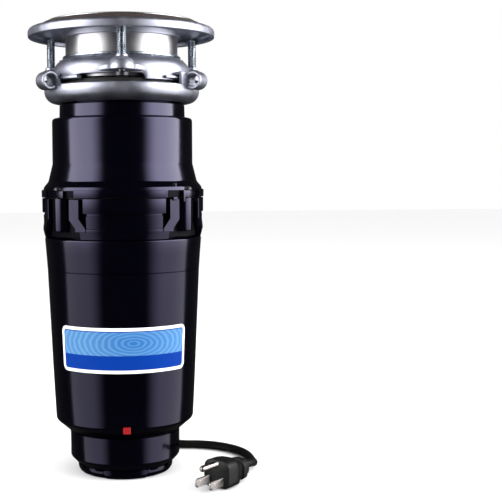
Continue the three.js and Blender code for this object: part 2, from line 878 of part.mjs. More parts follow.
function lowerMountingRing() {
  const band = turned([
    [lowerRingLip, lowerRingBottom],
    [lowerRingRadius - 2, lowerRingBottom],
    [lowerRingRadius, lowerRingBottom + 2],
    [lowerRingRadius, lowerRingTop],
    [lowerRingInner, lowerRingTop],
    [lowerRingInner, lowerRingBottom + 4],
    [lowerRingInner - 1, lowerRingBottom + 3],
    [lowerRingLip, lowerRingBottom + 3],
  ]);
  const hookBottom = upperRingBottom;
  const pieces = [];
  const hookTop = hookBottom + hookThickness;
  for (const angle of earAngles) {
    const neck = sector(lowerRingInner + 0.8, hookOuter, angle, 5.8, lowerRingTop - 3, hookTop);
    const hook = sector(hookInner, hookOuter, angle, hookHalfAngle, hookBottom, hookTop);
    const ear = rod(earRadius, -earLength / 2, earLength / 2)
      .rotateX(Math.PI / 2)
      .translate(earCircle, 0, earHeight)
      .rotateZ(radians(angle));
    pieces.push(neck, hook, ear);
  }
  const bores = earAngles.map((angle) => {
    return rod(earRadius - earWall, -earLength, earLength)
      .rotateX(Math.PI / 2)
      .translate(earCircle, 0, earHeight)
      .rotateZ(radians(angle));
  });
  return cut(joined(band, ...pieces), ...bores);
}

// A rubber cup with a slit diaphragm of four flaps.
function splashGuard() {
  const outer = sleeveRadius - sleeveWall - 0.4;
  const cup = turned([
    [0, splashFloor],
    [outer - 9, splashFloor],
    [outer - splashWall, splashBottom],
    [outer, splashBottom],
    [outer, splashTop],
    [outer - splashWall, splashTop],
    [outer - splashWall, splashFloor + 3],
    [outer - 8, splashFloor + 2],
    [0, splashFloor + 2],
  ]);
  const slits = [0, 90, 180, 270].map((angle) => {
    const slit = block(outer - 14, 2, 20, (outer - 14) / 2 + 3, 0, splashFloor);
    return slit.rotateZ(radians(angle));
  });
  const holes = [45, 135, 225, 315].map((angle) => {
    return block(5, 3, 20, outer - 14, 0, splashFloor).rotateZ(radians(angle));
  });
  return cut(cup, rod(1.6, splashFloor - 5, splashFloor + 5, 12), ...slits, ...holes);
}

function stopperCap() {
  return turned([
    [0, stopperTop - 9],
    [stopperRimRadius, stopperTop - 9],
    [stopperRimRadius, stopperTop - 7],
    [stopperKnobRadius + 3, stopperTop - 5.6],
    [stopperKnobRadius, stopperTop - 2],
    [stopperKnobRadius - 2, stopperTop],
    [0, stopperTop - 0.6],
  ]);
}

function stopperGasket() {
  const outer = sleeveRadius - sleeveWall - 0.5;
  const top = stopperTop - 9 - gap;
  return turned([
    [0, top - 4],
    [9, splashTop + gap],
    [outer - 3, splashTop + gap],
    [outer, top - 4],
    [outer, top],
    [0, top],
  ]);
}

function buildMount() {
  add("sink_flange", sinkFlange(), stainless());
  const fibre = washer(sleeveRadius + gap, gasketRadius, gasketTop - gasketThickness, gasketTop);
  add("fibre_gasket", fibre, finish(0x3a2b22, 0.85, 0));
  add("backup_flange", backupFlange(), satinMetal());
  const snap = washer(sleeveRadius + gap, sleeveRadius + 2.3, upperRingTop + gap, upperRingTop + 2.3);
  add("snap_ring", snap, zincSteel());
  add("upper_mounting_ring", upperMountingRing(), satinMetal());
  const seal = washer(mountGasketBore, mountGasketRadius, mountGasketBottom, mountGasketTop);
  add("mounting_gasket", seal, blackRubber());
  mountScrewAngles.forEach((angle, i) => {
    const [x, y] = onCircle(mountScrewCircle, angle);
    add(`mounting_screw_${i + 1}`, mountScrew(), zincSteel(), [x, y, 0], angle);
  });
  add("lower_mounting_ring", lowerMountingRing(), satinMetal());
  add("splash_guard", splashGuard(), blackRubber());
  add("stopper_cap", stopperCap(), stainless());
  add("stopper_gasket", stopperGasket(), blackRubber());
}

// ---- Cord and plug ----

function cordTube(route) {
  const section = new THREE.Shape();
  section.absarc(0, 0, cordRadius, 0, 2 * Math.PI);
  const path = new THREE.CatmullRomCurve3(route.map((point) => new THREE.Vector3(...point)));
  const steps = Math.max(4, Math.round(path.getLength() / (5 * cordRadius)));
  const options = { steps, extrudePath: path, curveSegments: 10, bevelEnabled: false };
  return new THREE.ExtrudeGeometry(section, options);
}

function cordGland() {
  const inside = capRadius - 3;
  const tip = capRadius + reliefLength;
  const relief = turned([
    [0, inside - 4],
    [cordRadius + 2.5, inside - 4],
    [cordRadius + 3.7, inside - 2],
    [cordRadius + 3.7, capRadius + gap],
    [cordRadius + 6.1, capRadius + gap],
    [cordRadius + 6.1, capRadius + 3],
    [cordRadius + 3.1, capRadius + 4],
    [cordRadius + 0.8, tip],
    [0, tip],
  ], smallSides);
  return relief.rotateY(Math.PI / 2).rotateZ(radians(cordExitAngle)).translate(0, 0, cordExitHeight);
}

// Flat below and round above, with a tapered relief behind. It points along +Y, with the cord's end at 0.
function plugBody() {
  const half = plugWidth / 2;
  const low = 0.3 - plugPlace[2];
  const shape = new THREE.Shape();
  shape.moveTo(-half + 2, low);
  shape.lineTo(half - 2, low);
  shape.lineTo(half, low + 2);
  shape.lineTo(half, low + plugHeight - half);
  shape.absarc(0, low + plugHeight - half, half, 0, Math.PI, false);
  shape.lineTo(-half, low + 2);
  shape.closePath();
  const body = raised(shape, 0, plugLength, 10).rotateX(Math.PI / 2);
  body.translate(0, plugRelief + plugLength, 0);
  const relief = turned([
    [0, 0],
    [cordRadius + 0.9, 0],
    [cordRadius + 3, plugRelief + 1],
    [0, plugRelief + 1],
  ], smallSides);
  return joined(body, relief.rotateX(-Math.PI / 2));
}

function buildCord() {
  add("cord_gland", cordGland(), blackRubber());
  add("cord_lead_in", cordTube(leadInRoute), blackRubber());
  const coil = washer(coilMiddle - coilHalf, coilMiddle + coilHalf, 0.2, 4 * cordRadius + 0.1, motorSides);
  add("cord_coil", coil, blackRubber(), [...coilCentre, 0]);
  add("cord_run", cordTube(runRoute), blackRubber());
  const plug = new THREE.Group();
  plug.position.set(...plugPlace);
  plug.rotation.z = radians(plugTurn);
  part.add(plug);
  const face = plugRelief + plugLength + gap;
  const bladeHeight = 6 - plugPlace[2];
  const pieces = [
    ["plug_body", plugBody(), blackRubber()],
    ["ground_pin", rod(groundPinRadius, face, face + bladeLength + 2, 16)
      .rotateX(-Math.PI / 2).translate(0, 0, bladeHeight + groundPinAbove), brass()],
  ];
  [-1, 1].forEach((side, i) => {
    const blade = block(
      bladeThickness, bladeLength, bladeWidth,
      (side * bladeSpacing) / 2, face + bladeLength / 2, bladeHeight,
    );
    pieces.push([`plug_blade_${i + 1}`, blade, brass()]);
  });
  for (const [name, geometry, material] of pieces) {
    const mesh = new THREE.Mesh(geometry, material);
    mesh.name = name;
    plug.add(mesh);
  }
}

buildHousing();
buildReset();
buildGrinder();
buildMotor();
buildMount();
buildCord();

export default part;
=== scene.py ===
import math

import bmesh
import bpy
import numpy as np
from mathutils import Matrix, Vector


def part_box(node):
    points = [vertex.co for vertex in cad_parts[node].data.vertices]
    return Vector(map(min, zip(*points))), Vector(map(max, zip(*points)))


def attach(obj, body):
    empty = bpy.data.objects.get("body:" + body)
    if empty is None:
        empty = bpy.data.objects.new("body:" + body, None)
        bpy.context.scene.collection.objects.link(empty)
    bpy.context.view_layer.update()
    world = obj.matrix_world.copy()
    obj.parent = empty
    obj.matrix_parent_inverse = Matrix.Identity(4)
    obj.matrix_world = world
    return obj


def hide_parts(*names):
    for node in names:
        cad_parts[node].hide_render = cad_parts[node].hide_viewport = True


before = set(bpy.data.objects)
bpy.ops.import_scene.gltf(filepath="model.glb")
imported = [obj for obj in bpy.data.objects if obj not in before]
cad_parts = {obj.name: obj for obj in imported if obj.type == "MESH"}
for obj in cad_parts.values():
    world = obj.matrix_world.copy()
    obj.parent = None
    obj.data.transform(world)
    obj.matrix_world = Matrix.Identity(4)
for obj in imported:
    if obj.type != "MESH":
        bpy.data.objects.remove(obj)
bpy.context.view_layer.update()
mm = 0.001
front = 270  # degrees from +X towards +Y
lobeAngles = [218, 322, 90]  # the housing's screw lobes stand at these
earAngles = [210, 330, 90]  # the mount's ears, hooks and tabs stand at these
bossAngles = [270, 30, 150]  # mounting screws stand at these
print("frame loaded")


def onCircle(radius, degrees):
    return radius * math.cos(math.radians(degrees)), radius * math.sin(math.radians(degrees))


# An outline from corners (radius, height, cut): each corner is cut back along its
# two edges by that much and the ends are joined by a parabola.
def rounded(corners, closed=True, steps=5):
    points = []
    count = len(corners)
    for i, corner in enumerate(corners):
        here, cutBack = np.array(corner[:2], float), corner[2] if len(corner) > 2 else 0
        if cutBack == 0 or (not closed and i in (0, count - 1)):
            points.append(here)
            continue
        before = np.array(corners[i - 1][:2], float) - here
        after = np.array(corners[(i + 1) % count][:2], float) - here
        before *= min(cutBack / np.linalg.norm(before), 0.5)
        after *= min(cutBack / np.linalg.norm(after), 0.5)
        t = np.linspace(0, 1, steps)[:, None]
        points.extend(here + before * (1 - t) ** 2 + after * t ** 2)
    return np.array(points)


# Each point (r, z) of an outline goes to (r cos a, r sin a, z) for every angle a.
def turned(outline, start=0, end=360, sides=144):
    angle = np.radians(np.linspace(start, end, sides + 1))
    angle = angle[:-1] if abs(end - start) >= 360 else angle
    r, z = outline[:, 0], outline[:, 1]
    grid = np.stack([
        np.outer(np.cos(angle), r),
        np.outer(np.sin(angle), r),
        np.broadcast_to(z, (len(angle), len(z))),
    ], -1)
    return grid


# A full turn of an outline: a ring's closes on itself, a spun one starts and ends on
# the axis.
def ring(corners, sides=144, steps=5):
    return [(turned(rounded(corners, steps=steps), sides=sides), True, True)]


def spun(corners, sides=96, steps=5):
    return [(turned(rounded(corners, closed=False, steps=steps), sides=sides), True, False)]


# Sections placed one after another, each a closed loop of points, with both ends shut
# by a fan to the middle of the loop.
def lofted(sections):
    middleFirst = np.broadcast_to(sections[0].mean(0), sections[0].shape)
    middleLast = np.broadcast_to(sections[-1].mean(0), sections[-1].shape)
    grid = np.concatenate([[middleFirst], sections, [middleLast]])
    return [(grid, False, True)]


# A closed outline (r, z) carried round part of a turn.
def sector(corners, middle, half, sides=24, steps=4):
    return lofted(turned(rounded(corners, steps=steps), middle - half, middle + half, sides))


# A flat outline of (angle, height) points wrapped on a cylinder and given depth
# between two radii, with a small chamfer at the outer face.
def wrapped(outline, inner, outer, chamfer=0.5):
    outline = np.array(outline, float)
    middle = outline.mean(0)
    extent = np.abs(outline - middle).max(0) * [math.radians(outer), 1]
    shrink = 1 - chamfer / np.maximum(extent, chamfer * 2)
    inset = middle + (outline - middle) * shrink
    sections = []
    for radius, flat in ((inner, outline), (outer - chamfer, outline), (outer, inset)):
        angle = np.radians(flat[:, 0])
        x, y = radius * np.cos(angle), radius * np.sin(angle)
        sections.append(np.stack([x, y, flat[:, 1]], -1))
    return lofted(np.array(sections))


# A shape made round the Z axis is laid down so that its Z axis points along zAxis
# and its X axis along xAxis, from origin.
def laid(grids, origin, zAxis, xAxis):
    zAxis, xAxis = np.array(zAxis, float), np.array(xAxis, float)
    basis = np.stack([xAxis, np.cross(zAxis, xAxis), zAxis])
    return [(grid @ basis + np.array(origin, float), u, v) for grid, u, v in grids]


# Laid so that its Z axis points straight out at an angle.
def radial(grids, angle, height):
    c, s = onCircle(1, angle)
    return laid(grids, (0, 0, height), (c, s, 0), (-s, c, 0))


# Turned about Z, then shifted.
def moved(grids, x, y, z=0, turn=0):
    c, s = onCircle(1, turn)
    return laid(grids, (x, y, z), (0, 0, 1), (c, s, 0))


# Circles carried along a path of points, each square to the path.
def tube(path, radius, sides=20):
    path = np.array(path, float)
    radius = np.broadcast_to(radius, len(path))[:, None, None]
    ahead = np.gradient(path, axis=0)
    ahead /= np.linalg.norm(ahead, axis=1)[:, None]
    side = np.cross(ahead, (0, 0, 1.0))
    side /= np.linalg.norm(side, axis=1)[:, None]
    up = np.cross(side, ahead)
    turn = np.linspace(0, 2 * np.pi, sides, endpoint=False)[None, :, None]
    loops = np.cos(turn) * side[:, None] + np.sin(turn) * up[:, None]
    return lofted((path[:, None] + radius * loops)[:, ::-1])


# A smooth curve through given points (Catmull-Rom), at even steps of its parameter.
def throughPoints(points, perSpan=10):
    p = np.array(points, float)
    p = np.concatenate([[2 * p[0] - p[1]], p, [2 * p[-1] - p[-2]]])
    t = np.linspace(0, 1, perSpan, endpoint=False)[None, :, None]
    a, b, c, d = (p[i:len(p) - 3 + i, None] for i in range(4))
    curve = 0.5 * (2 * b + (c - a) * t + (2 * a - 5 * b + 4 * c - d) * t ** 2
                   + (3 * b - a - 3 * c + d) * t ** 3)
    return np.concatenate([curve.reshape(-1, 3), p[-2:-1]])


# A loop between an oval (power 2) and a box (high power), flatter below where asked.
def superLoop(half, low, high, power, below=None, count=48):
    t = np.linspace(0, 2 * np.pi, count, endpoint=False)
    c, s = np.cos(t), np.sin(t)
    middle, tall = (low + high) / 2, (high - low) / 2
    squareness = np.where(s < 0, below or power, power)
    x = half * np.sign(c) * np.abs(c) ** (2 / squareness)
    z = middle + tall * np.sign(s) * np.abs(s) ** (2 / squareness)
    return x, z


# A bent strip: soft-edged box sections, thick by width, follow a path in the plane of
# r and z.
def strip(path, thick, width):
    path = np.array(path, float)
    ahead = np.gradient(path, axis=0)
    ahead /= np.linalg.norm(ahead, axis=1)[:, None]
    across, offset = superLoop(width / 2, -thick / 2, thick / 2, 5, count=40)
    outward = np.stack([-ahead[:, 1], ahead[:, 0]], -1)[:, None]
    place = path[:, None] + outward * offset[None, :, None]
    across = np.broadcast_to(across, place.shape[:2])
    return lofted(np.stack([place[..., 0], across, place[..., 1]], -1))


# Quads between neighbouring grid points, closed round in u or v where it wraps.
def quadsOf(grid, wrapU, wrapV):
    nu, nv = grid.shape[:2]
    rows, columns = np.arange(nu if wrapU else nu - 1), np.arange(nv if wrapV else nv - 1)
    u, v = np.meshgrid(rows, columns, indexing="ij")
    u2, v2 = (u + 1) % nu, (v + 1) % nv
    return np.stack([u * nv + v, u2 * nv + v, u2 * nv + v2, u * nv + v2], -1).reshape(-1, 4)


# Grids in millimetres become one mesh in metres, with doubled points merged and edges
# over sharpAngle left sharp. The piece rides its body and may stand for CAD nodes.
def makePiece(name, grids, finish, body="housing", standsFor=(),
              sharpAngle=32):
    points, faces, start = [], [], 0
    for grid, wrapU, wrapV in grids:
        points.append(grid.reshape(-1, 3) * mm)
        faces.append(quadsOf(grid, wrapU, wrapV) + start)
        start += grid.shape[0] * grid.shape[1]
    mesh = bpy.data.meshes.new(name)
    mesh.from_pydata(np.concatenate(points).tolist(), [], np.concatenate(faces).tolist())
    work = bmesh.new()
    work.from_mesh(mesh)
    bmesh.ops.remove_doubles(work, verts=work.verts, dist=1e-6)
    bmesh.ops.recalc_face_normals(work, faces=work.faces)
    work.to_mesh(mesh)
    work.free()
    mesh.polygons.foreach_set("use_smooth", np.ones(len(mesh.polygons), bool))
    mesh.set_sharp_from_angle(angle=math.radians(sharpAngle))
    mesh.materials.append(finish)
    piece = bpy.data.objects.new(name, mesh)
    bpy.context.scene.collection.objects.link(piece)
    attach(piece, body)
    if standsFor:
        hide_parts(*([standsFor] if isinstance(standsFor, str) else standsFor))
    return piece


# A node's input takes a number, a colour or another node's output.
def put(tree, socket, value):
    if isinstance(value, bpy.types.NodeSocket):
        tree.links.new(value, socket)
    else:
        socket.default_value = (*value, 1) if isinstance(value, tuple) else value


def calc(tree, operation, *values):
    made = tree.nodes.new("ShaderNodeMath")
    made.operation = operation
    for socket, value in zip(made.inputs, values):
        put(tree, socket, value)
    return made.outputs[0]


def noise(tree, vector, scale, detail):
    made = tree.nodes.new("ShaderNodeTexNoise")
    made.inputs["Scale"].default_value = scale
    made.inputs["Detail"].default_value = detail
    tree.links.new(vector, made.inputs["Vector"])
    return made.outputs["Fac"]


# What lies between two limits is spread from 0 to 1, or between two given ends.
def spread(tree, value, limits, ends=(0.0, 1.0), smooth=False):
    made = tree.nodes.new("ShaderNodeMapRange")
    made.interpolation_type = "SMOOTHSTEP" if smooth else "LINEAR"
    for key, number in zip(("From Min", "From Max", "To Min", "To Max"), (*limits, *ends)):
        made.inputs[key].default_value = number
    tree.links.new(value, made.inputs["Value"])
    return made.outputs["Result"]


# A share of the way from the first value to the second, as numbers or as colours.
def blend(tree, share, first, second, colours=True):
    made = tree.nodes.new("ShaderNodeMix")
    made.data_type = "RGBA" if colours else "FLOAT"
    own = 6 if colours else 2  # where this type's own inputs begin
    for i, value in ((0, share), (own, first), (own + 1, second)):
        put(tree, made.inputs[i], value)
    return made.outputs[2 if colours else 0]


# A surface whose colour and roughness drift with broad noise and whose fine grain is
# bump. All lengths are in millimetres.
def newFinish(name, dark, light, rough, toneSize, grainSize, grainDepth,
              metallic=0.0, stretch=(1, 1, 1), tint=None, scratches=0.0):
    finish = bpy.data.materials.new(name)
    finish.use_nodes = True
    tree = finish.node_tree
    nodes, links = tree.nodes, tree.links
    shader = nodes["Principled BSDF"]
    where = nodes.new("ShaderNodeTexCoord").outputs["Object"]

    def stretched(scale):
        made = nodes.new("ShaderNodeMapping")
        made.inputs["Scale"].default_value = scale
        links.new(where, made.inputs["Vector"])
        return made.outputs["Vector"]

    def bumped(height, depth, under=None):
        made = nodes.new("ShaderNodeBump")
        made.inputs["Distance"].default_value = depth * mm
        links.new(height, made.inputs["Height"])
        if under:
            links.new(under, made.inputs["Normal"])
        return made.outputs["Normal"]

    place = stretched(stretch)
    tone = noise(tree, place, 1 / (toneSize * mm), 4)
    grain = noise(tree, place, 1 / (grainSize * mm), 3)
    ramp = nodes.new("ShaderNodeValToRGB")
    for element, position, colour in zip(ramp.color_ramp.elements, (0.3, 0.7), (dark, light)):
        element.position = position
        element.color = (*colour, 1)
    links.new(tone, ramp.inputs["Fac"])
    links.new(ramp.outputs["Color"], shader.inputs["Base Color"])
    wear = calc(tree, "MULTIPLY_ADD", grain, 0.5, tone)
    links.new(spread(tree, wear, (0.45, 1.05), rough), shader.inputs["Roughness"])
    normal = bumped(grain, grainDepth)
    if scratches:  # fine rings left by turning
        rings = noise(tree, stretched((60, 60, 3000)), 1, 2)
        normal = bumped(rings, scratches, normal)
    links.new(normal, shader.inputs["Normal"])
    shader.inputs["Metallic"].default_value = metallic
    if tint:
        shader.inputs["Specular Tint"].default_value = (*tint, 1)
    return finish


glossyBlack = newFinish(
    "glossyBlackPlastic", (0.0001, 0.0001, 0.0010), (0.0003, 0.0002, 0.0016), rough=(0.12, 0.18),
    toneSize=30, grainSize=0.9, grainDepth=0.002, tint=(0.66, 0.62, 1.0))
# Painted shade: a dull near-black whose reflections are tinted almost away. It is laid in
# recesses, notches and catches so that they read dark, as if shaded.
paintedShadeBlack = newFinish(
    "paintedShadePocketBlack", (0.0002, 0.0002, 0.0005), (0.0005, 0.0005, 0.0010), rough=(0.5, 0.65),
    toneSize=8, grainSize=0.5, grainDepth=0.02, tint=(0.04, 0.04, 0.08))
satinCast = newFinish(
    "satinCastMetal", (0.42, 0.43, 0.51), (0.54, 0.55, 0.64), rough=(0.38, 0.5), metallic=1,
    toneSize=9, grainSize=0.5, grainDepth=0.012)
pressedSteel = newFinish(
    "pressedFlangeSteel", (0.52, 0.52, 0.54), (0.64, 0.64, 0.66), rough=(0.26, 0.38), metallic=1,
    toneSize=16, grainSize=0.4, grainDepth=0.006, scratches=0.004)
polishedSteel = newFinish(
    "polishedStainless", (0.62, 0.61, 0.64), (0.72, 0.71, 0.74), rough=(0.13, 0.24), metallic=1,
    toneSize=20, grainSize=0.3, grainDepth=0.002, scratches=0.002)
zincPlate = newFinish(
    "brightZincPlate", (0.42, 0.48, 0.54), (0.62, 0.66, 0.70), rough=(0.2, 0.34), metallic=1,
    toneSize=4, grainSize=0.4, grainDepth=0.01)
blackRubber = newFinish(
    "blackRubber", (0.006, 0.006, 0.007), (0.016, 0.016, 0.018), rough=(0.5, 0.7),
    toneSize=6, grainSize=0.35, grainDepth=0.03)
cordBlack = newFinish(
    "cordVinyl", (0.004, 0.004, 0.004), (0.009, 0.009, 0.009), rough=(0.4, 0.52),
    toneSize=10, grainSize=0.5, grainDepth=0.015, tint=(0.4, 0.4, 0.4))
brownFibre = newFinish(
    "brownFibreSheet", (0.022, 0.014, 0.013), (0.045, 0.03, 0.027), rough=(0.75, 0.9),
    toneSize=3, grainSize=0.4, grainDepth=0.05)
buttonRed = newFinish(
    "resetButtonRed", (0.24, 0.001, 0.002), (0.32, 0.002, 0.003), rough=(0.25, 0.35),
    toneSize=3, grainSize=0.5, grainDepth=0.004)
bladeMetal = newFinish(
    "bladeNickelBrass", (0.32, 0.29, 0.28), (0.46, 0.43, 0.42), rough=(0.22, 0.34), metallic=1,
    toneSize=4, grainSize=0.3, grainDepth=0.005)
darkSteel = newFinish(
    "darkRolledSteel", (0.05, 0.05, 0.055), (0.12, 0.12, 0.13), rough=(0.35, 0.5), metallic=1,
    toneSize=7, grainSize=0.5, grainDepth=0.02)
enamelledCopper = newFinish(
    "enamelledCopperWire", (0.30, 0.10, 0.04), (0.62, 0.26, 0.12), rough=(0.25, 0.4), metallic=1,
    toneSize=2, grainSize=0.7, grainDepth=0.2, stretch=(1, 1, 0.4))
dullFerrite = newFinish(
    "dullFerrite", (0.02, 0.02, 0.022), (0.05, 0.05, 0.052), rough=(0.6, 0.8),
    toneSize=5, grainSize=0.4, grainDepth=0.03)
brownPhenolic = newFinish(
    "brownPhenolicBoard", (0.09, 0.035, 0.016), (0.17, 0.07, 0.03), rough=(0.4, 0.55),
    toneSize=6, grainSize=0.5, grainDepth=0.02)
softCarbon = newFinish(
    "softCarbon", (0.012, 0.012, 0.012), (0.03, 0.03, 0.03), rough=(0.5, 0.7),
    toneSize=3, grainSize=0.3, grainDepth=0.02)


# The label's print, on its own UV: u along the arc and v up. A white border with round
# corners, a thin deep blue line, a light blue field with an oval swirl, and a deep blue
# foot. Lengths are in millimetres.
labelPrint = {
    "size": (104.5, 33.0),  # along the arc and up
    "half": 53.0,  # degrees to either side of its middle
    "turn": -0.8,  # degrees its middle lies from the front
    "corner": 4.6,
    "border": 2.3,
    "line": 0.75,
    "footShare": 0.39,
    "swirlCentre": (0.57, 0.66),
    "swirlPitch": 0.75,
    "swirlReach": 38.0,
    "swirlFlat": 2.3,  # how much wider the swirl is than tall
    "wobble": 5.0,
    "white": (0.86, 0.88, 0.9),
    "deepBlue": (0.0, 0.030, 0.24),
    "skyBlue": (0.02, 0.115, 0.34),
    "paleBlue": (0.12, 0.27, 0.46),
}


def labelFinish(spec):
    finish = bpy.data.materials.new("labelPrint")
    finish.use_nodes = True
    tree = finish.node_tree
    nodes, links = tree.nodes, tree.links
    shader = nodes["Principled BSDF"]
    width, height = spec["size"]
    centreU, centreV = spec["swirlCentre"]
    split = nodes.new("ShaderNodeSeparateXYZ")
    sheet = nodes.new("ShaderNodeUVMap").outputs["UV"]
    links.new(sheet, split.inputs[0])
    x = calc(tree, "MULTIPLY", calc(tree, "SUBTRACT", split.outputs[0], 0.5), width)
    y = calc(tree, "MULTIPLY", calc(tree, "SUBTRACT", split.outputs[1], 0.5), height)

    def distance(a, b):
        squares = calc(tree, "ADD", calc(tree, "MULTIPLY", a, a), calc(tree, "MULTIPLY", b, b))
        return calc(tree, "SQRT", squares)

    # how far inside a rectangle with round corners a point lies
    def inside(margin):
        corner = max(spec["corner"] - margin, 0.5)
        past = []
        for along, extent in ((x, width), (y, height)):
            straight = extent / 2 - margin - corner
            over = calc(tree, "SUBTRACT", calc(tree, "ABSOLUTE", along), straight)
            past.append(calc(tree, "MAXIMUM", over, 0))
        return calc(tree, "SUBTRACT", corner, distance(*past))

    def edge(value, soft=0.12):
        return spread(tree, value, (-soft, soft), smooth=True)

    sx = calc(tree, "SUBTRACT", x, (centreU - 0.5) * width)
    sy = calc(tree, "SUBTRACT", y, (centreV - 0.5) * height)
    reach = distance(sx, calc(tree, "MULTIPLY", sy, spec["swirlFlat"]))
    drift = calc(tree, "MULTIPLY", noise(tree, sheet, 7, 3), spec["wobble"])
    phase = calc(tree, "ADD", calc(tree, "DIVIDE", reach, spec["swirlPitch"]), drift)
    swing = calc(tree, "MULTIPLY_ADD", calc(tree, "SINE", phase), 0.5, 0.5)
    wave = calc(tree, "POWER", swing, 2.0)
    fade = calc(tree, "MINIMUM", calc(tree, "DIVIDE", reach, spec["swirlReach"]), 1.0)
    ripple = calc(tree, "MULTIPLY_ADD", wave, 0.5, calc(tree, "MULTIPLY", fade, 0.4))
    field = blend(tree, ripple, spec["skyBlue"], spec["paleBlue"])
    foot = edge(calc(tree, "SUBTRACT", (spec["footShare"] - 0.5) * height, y))
    field = blend(tree, foot, field, spec["deepBlue"])
    outer = edge(inside(spec["border"] + spec["line"]))
    field = blend(tree, outer, spec["deepBlue"], field)
    colour = blend(tree, edge(inside(spec["border"])), spec["white"], field)
    links.new(colour, shader.inputs["Base Color"])
    shader.inputs["Roughness"].default_value = 0.38
    shader.inputs["Specular IOR Level"].default_value = 0.05
    return finish


labelInk = labelFinish(labelPrint)
print("finishes made")


view = {
    "place": (0.0, -0.816, 0.227),
    "lens": 75.3,
    "shift": (0.118, -0.046),
    "pan": 3.75,  # degrees to the right
    "tilt": 2.8,  # degrees down
    "roll": 0.38,
}


def addCamera(spec):
    data = bpy.data.cameras.new("camera")
    data.lens = spec["lens"]
    data.sensor_width = 36
    data.shift_x, data.shift_y = spec["shift"]
    data.clip_start = 0.01
    camera = bpy.data.objects.new("camera", data)
    camera.location = spec["place"]
    camera.rotation_mode = "XYZ"
    turns = (90 - spec["tilt"], spec["roll"], -spec["pan"])
    camera.rotation_euler = [math.radians(a) for a in turns]
    bpy.context.scene.collection.objects.link(camera)
    bpy.context.scene.camera = camera


# Tall panels stand either side, this far from the axis and with their middles this high,
# in metres. Each fades over a soft share of its width, and to a quarter near its foot.
panelAway, panelHeight = 1.15, 0.3
softBoxes = [
    {"name": "rightPanel", "angle": 339, "size": (1.75, 1.8), "power": 7.3, "soft": (0.4, 0.06)},
    {"name": "leftPanel", "angle": 207, "size": (1.5, 1.8), "power": 5.6, "soft": (0.06, 0.4)},
]


def addSoftBox(spec):
    c, s = onCircle(1, spec["angle"])
    half, tall = spec["size"][0] / 2, spec["size"][1] / 2
    u, v = np.meshgrid([-half, half], [-tall, tall], indexing="ij")
    points = np.stack([
        panelAway * c - s * u,
        panelAway * s + c * u,
        panelHeight + v,
    ], -1).reshape(-1, 3)
    mesh = bpy.data.meshes.new(spec["name"])
    mesh.from_pydata(points.tolist(), [], [[0, 2, 3, 1]])
    layer = mesh.uv_layers.new(name="UVMap")
    layer.data.foreach_set("uv", [0, 0, 1, 0, 1, 1, 0, 1])
    glow = bpy.data.materials.new(spec["name"])
    glow.use_nodes = True
    tree = glow.node_tree
    tree.nodes.clear()
    split = tree.nodes.new("ShaderNodeSeparateXYZ")
    tree.links.new(tree.nodes.new("ShaderNodeUVMap").outputs["UV"], split.inputs[0])
    along, up = split.outputs[:2]
    left = spread(tree, along, (0.0, spec["soft"][0]), smooth=True)
    right = spread(tree, along, (1.0, 1 - spec["soft"][1]), smooth=True)
    upward = spread(tree, spread(tree, up, (0.3, 0.6), smooth=True), (0, 1), (0.25, 1))
    share = calc(tree, "MULTIPLY", calc(tree, "MULTIPLY", left, right), upward)
    light = tree.nodes.new("ShaderNodeEmission")
    tree.links.new(calc(tree, "MULTIPLY", share, spec["power"]), light.inputs["Strength"])
    out = tree.nodes.new("ShaderNodeOutputMaterial")
    tree.links.new(light.outputs[0], out.inputs["Surface"])
    mesh.materials.append(glow)
    panel = bpy.data.objects.new(spec["name"], mesh)
    bpy.context.scene.collection.objects.link(panel)
    panel.visible_camera = False
    panel.visible_shadow = False


def addAreaLight(name, place, size, power, aim=(0, 0, 0.2)):
    data = bpy.data.lights.new(name, "AREA")
    data.size = size
    data.energy = power
    light = bpy.data.objects.new(name, data)
    light.location = place
    way = Vector(aim) - Vector(place)
    light.rotation_euler = way.to_track_quat("-Z", "Y").to_euler()
    bpy.context.scene.collection.objects.link(light)
    light.visible_glossy = False


def addFloor(half=6.0, under=-0.0002):
    mesh = bpy.data.meshes.new("floor")
    corners = [(x * half, y * half, under) for x, y in ((-1, -1), (1, -1), (1, 1), (-1, 1))]
    mesh.from_pydata(corners, [], [[0, 1, 2, 3]])
    pale = bpy.data.materials.new("paleFloor")
    pale.use_nodes = True
    shader = pale.node_tree.nodes["Principled BSDF"]
    shader.inputs["Base Color"].default_value = (0.94, 0.94, 0.94, 1)
    shader.inputs["Roughness"].default_value = 0.9
    mesh.materials.append(pale)
    floor = bpy.data.objects.new("floor", mesh)
    bpy.context.scene.collection.objects.link(floor)
    floor.visible_glossy = False


# The sky is white to the eye and dim in reflections, as a dark studio is behind a pale
# sweep.
def addSky(seen=1.0, reflected=0.03, fill=1.08):
    world = bpy.data.worlds.new("studio")
    bpy.context.scene.world = world
    world.use_nodes = True
    tree = world.node_tree
    background = tree.nodes["Background"]
    background.inputs["Color"].default_value = (1, 1, 1, 1)
    path = tree.nodes.new("ShaderNodeLightPath")
    glossy = blend(tree, path.outputs["Is Glossy Ray"], fill, reflected, colours=False)
    strength = blend(tree, path.outputs["Is Camera Ray"], glossy, seen, colours=False)
    tree.links.new(strength, background.inputs["Strength"])


addCamera(view)
for spec in softBoxes:
    addSoftBox(spec)
addAreaLight("topLight", (0.1, -0.25, 1.5), 1.2, 4)
addFloor()
addSky()
bpy.context.scene.view_settings.view_transform = "Standard"
print("camera, light and floor set")


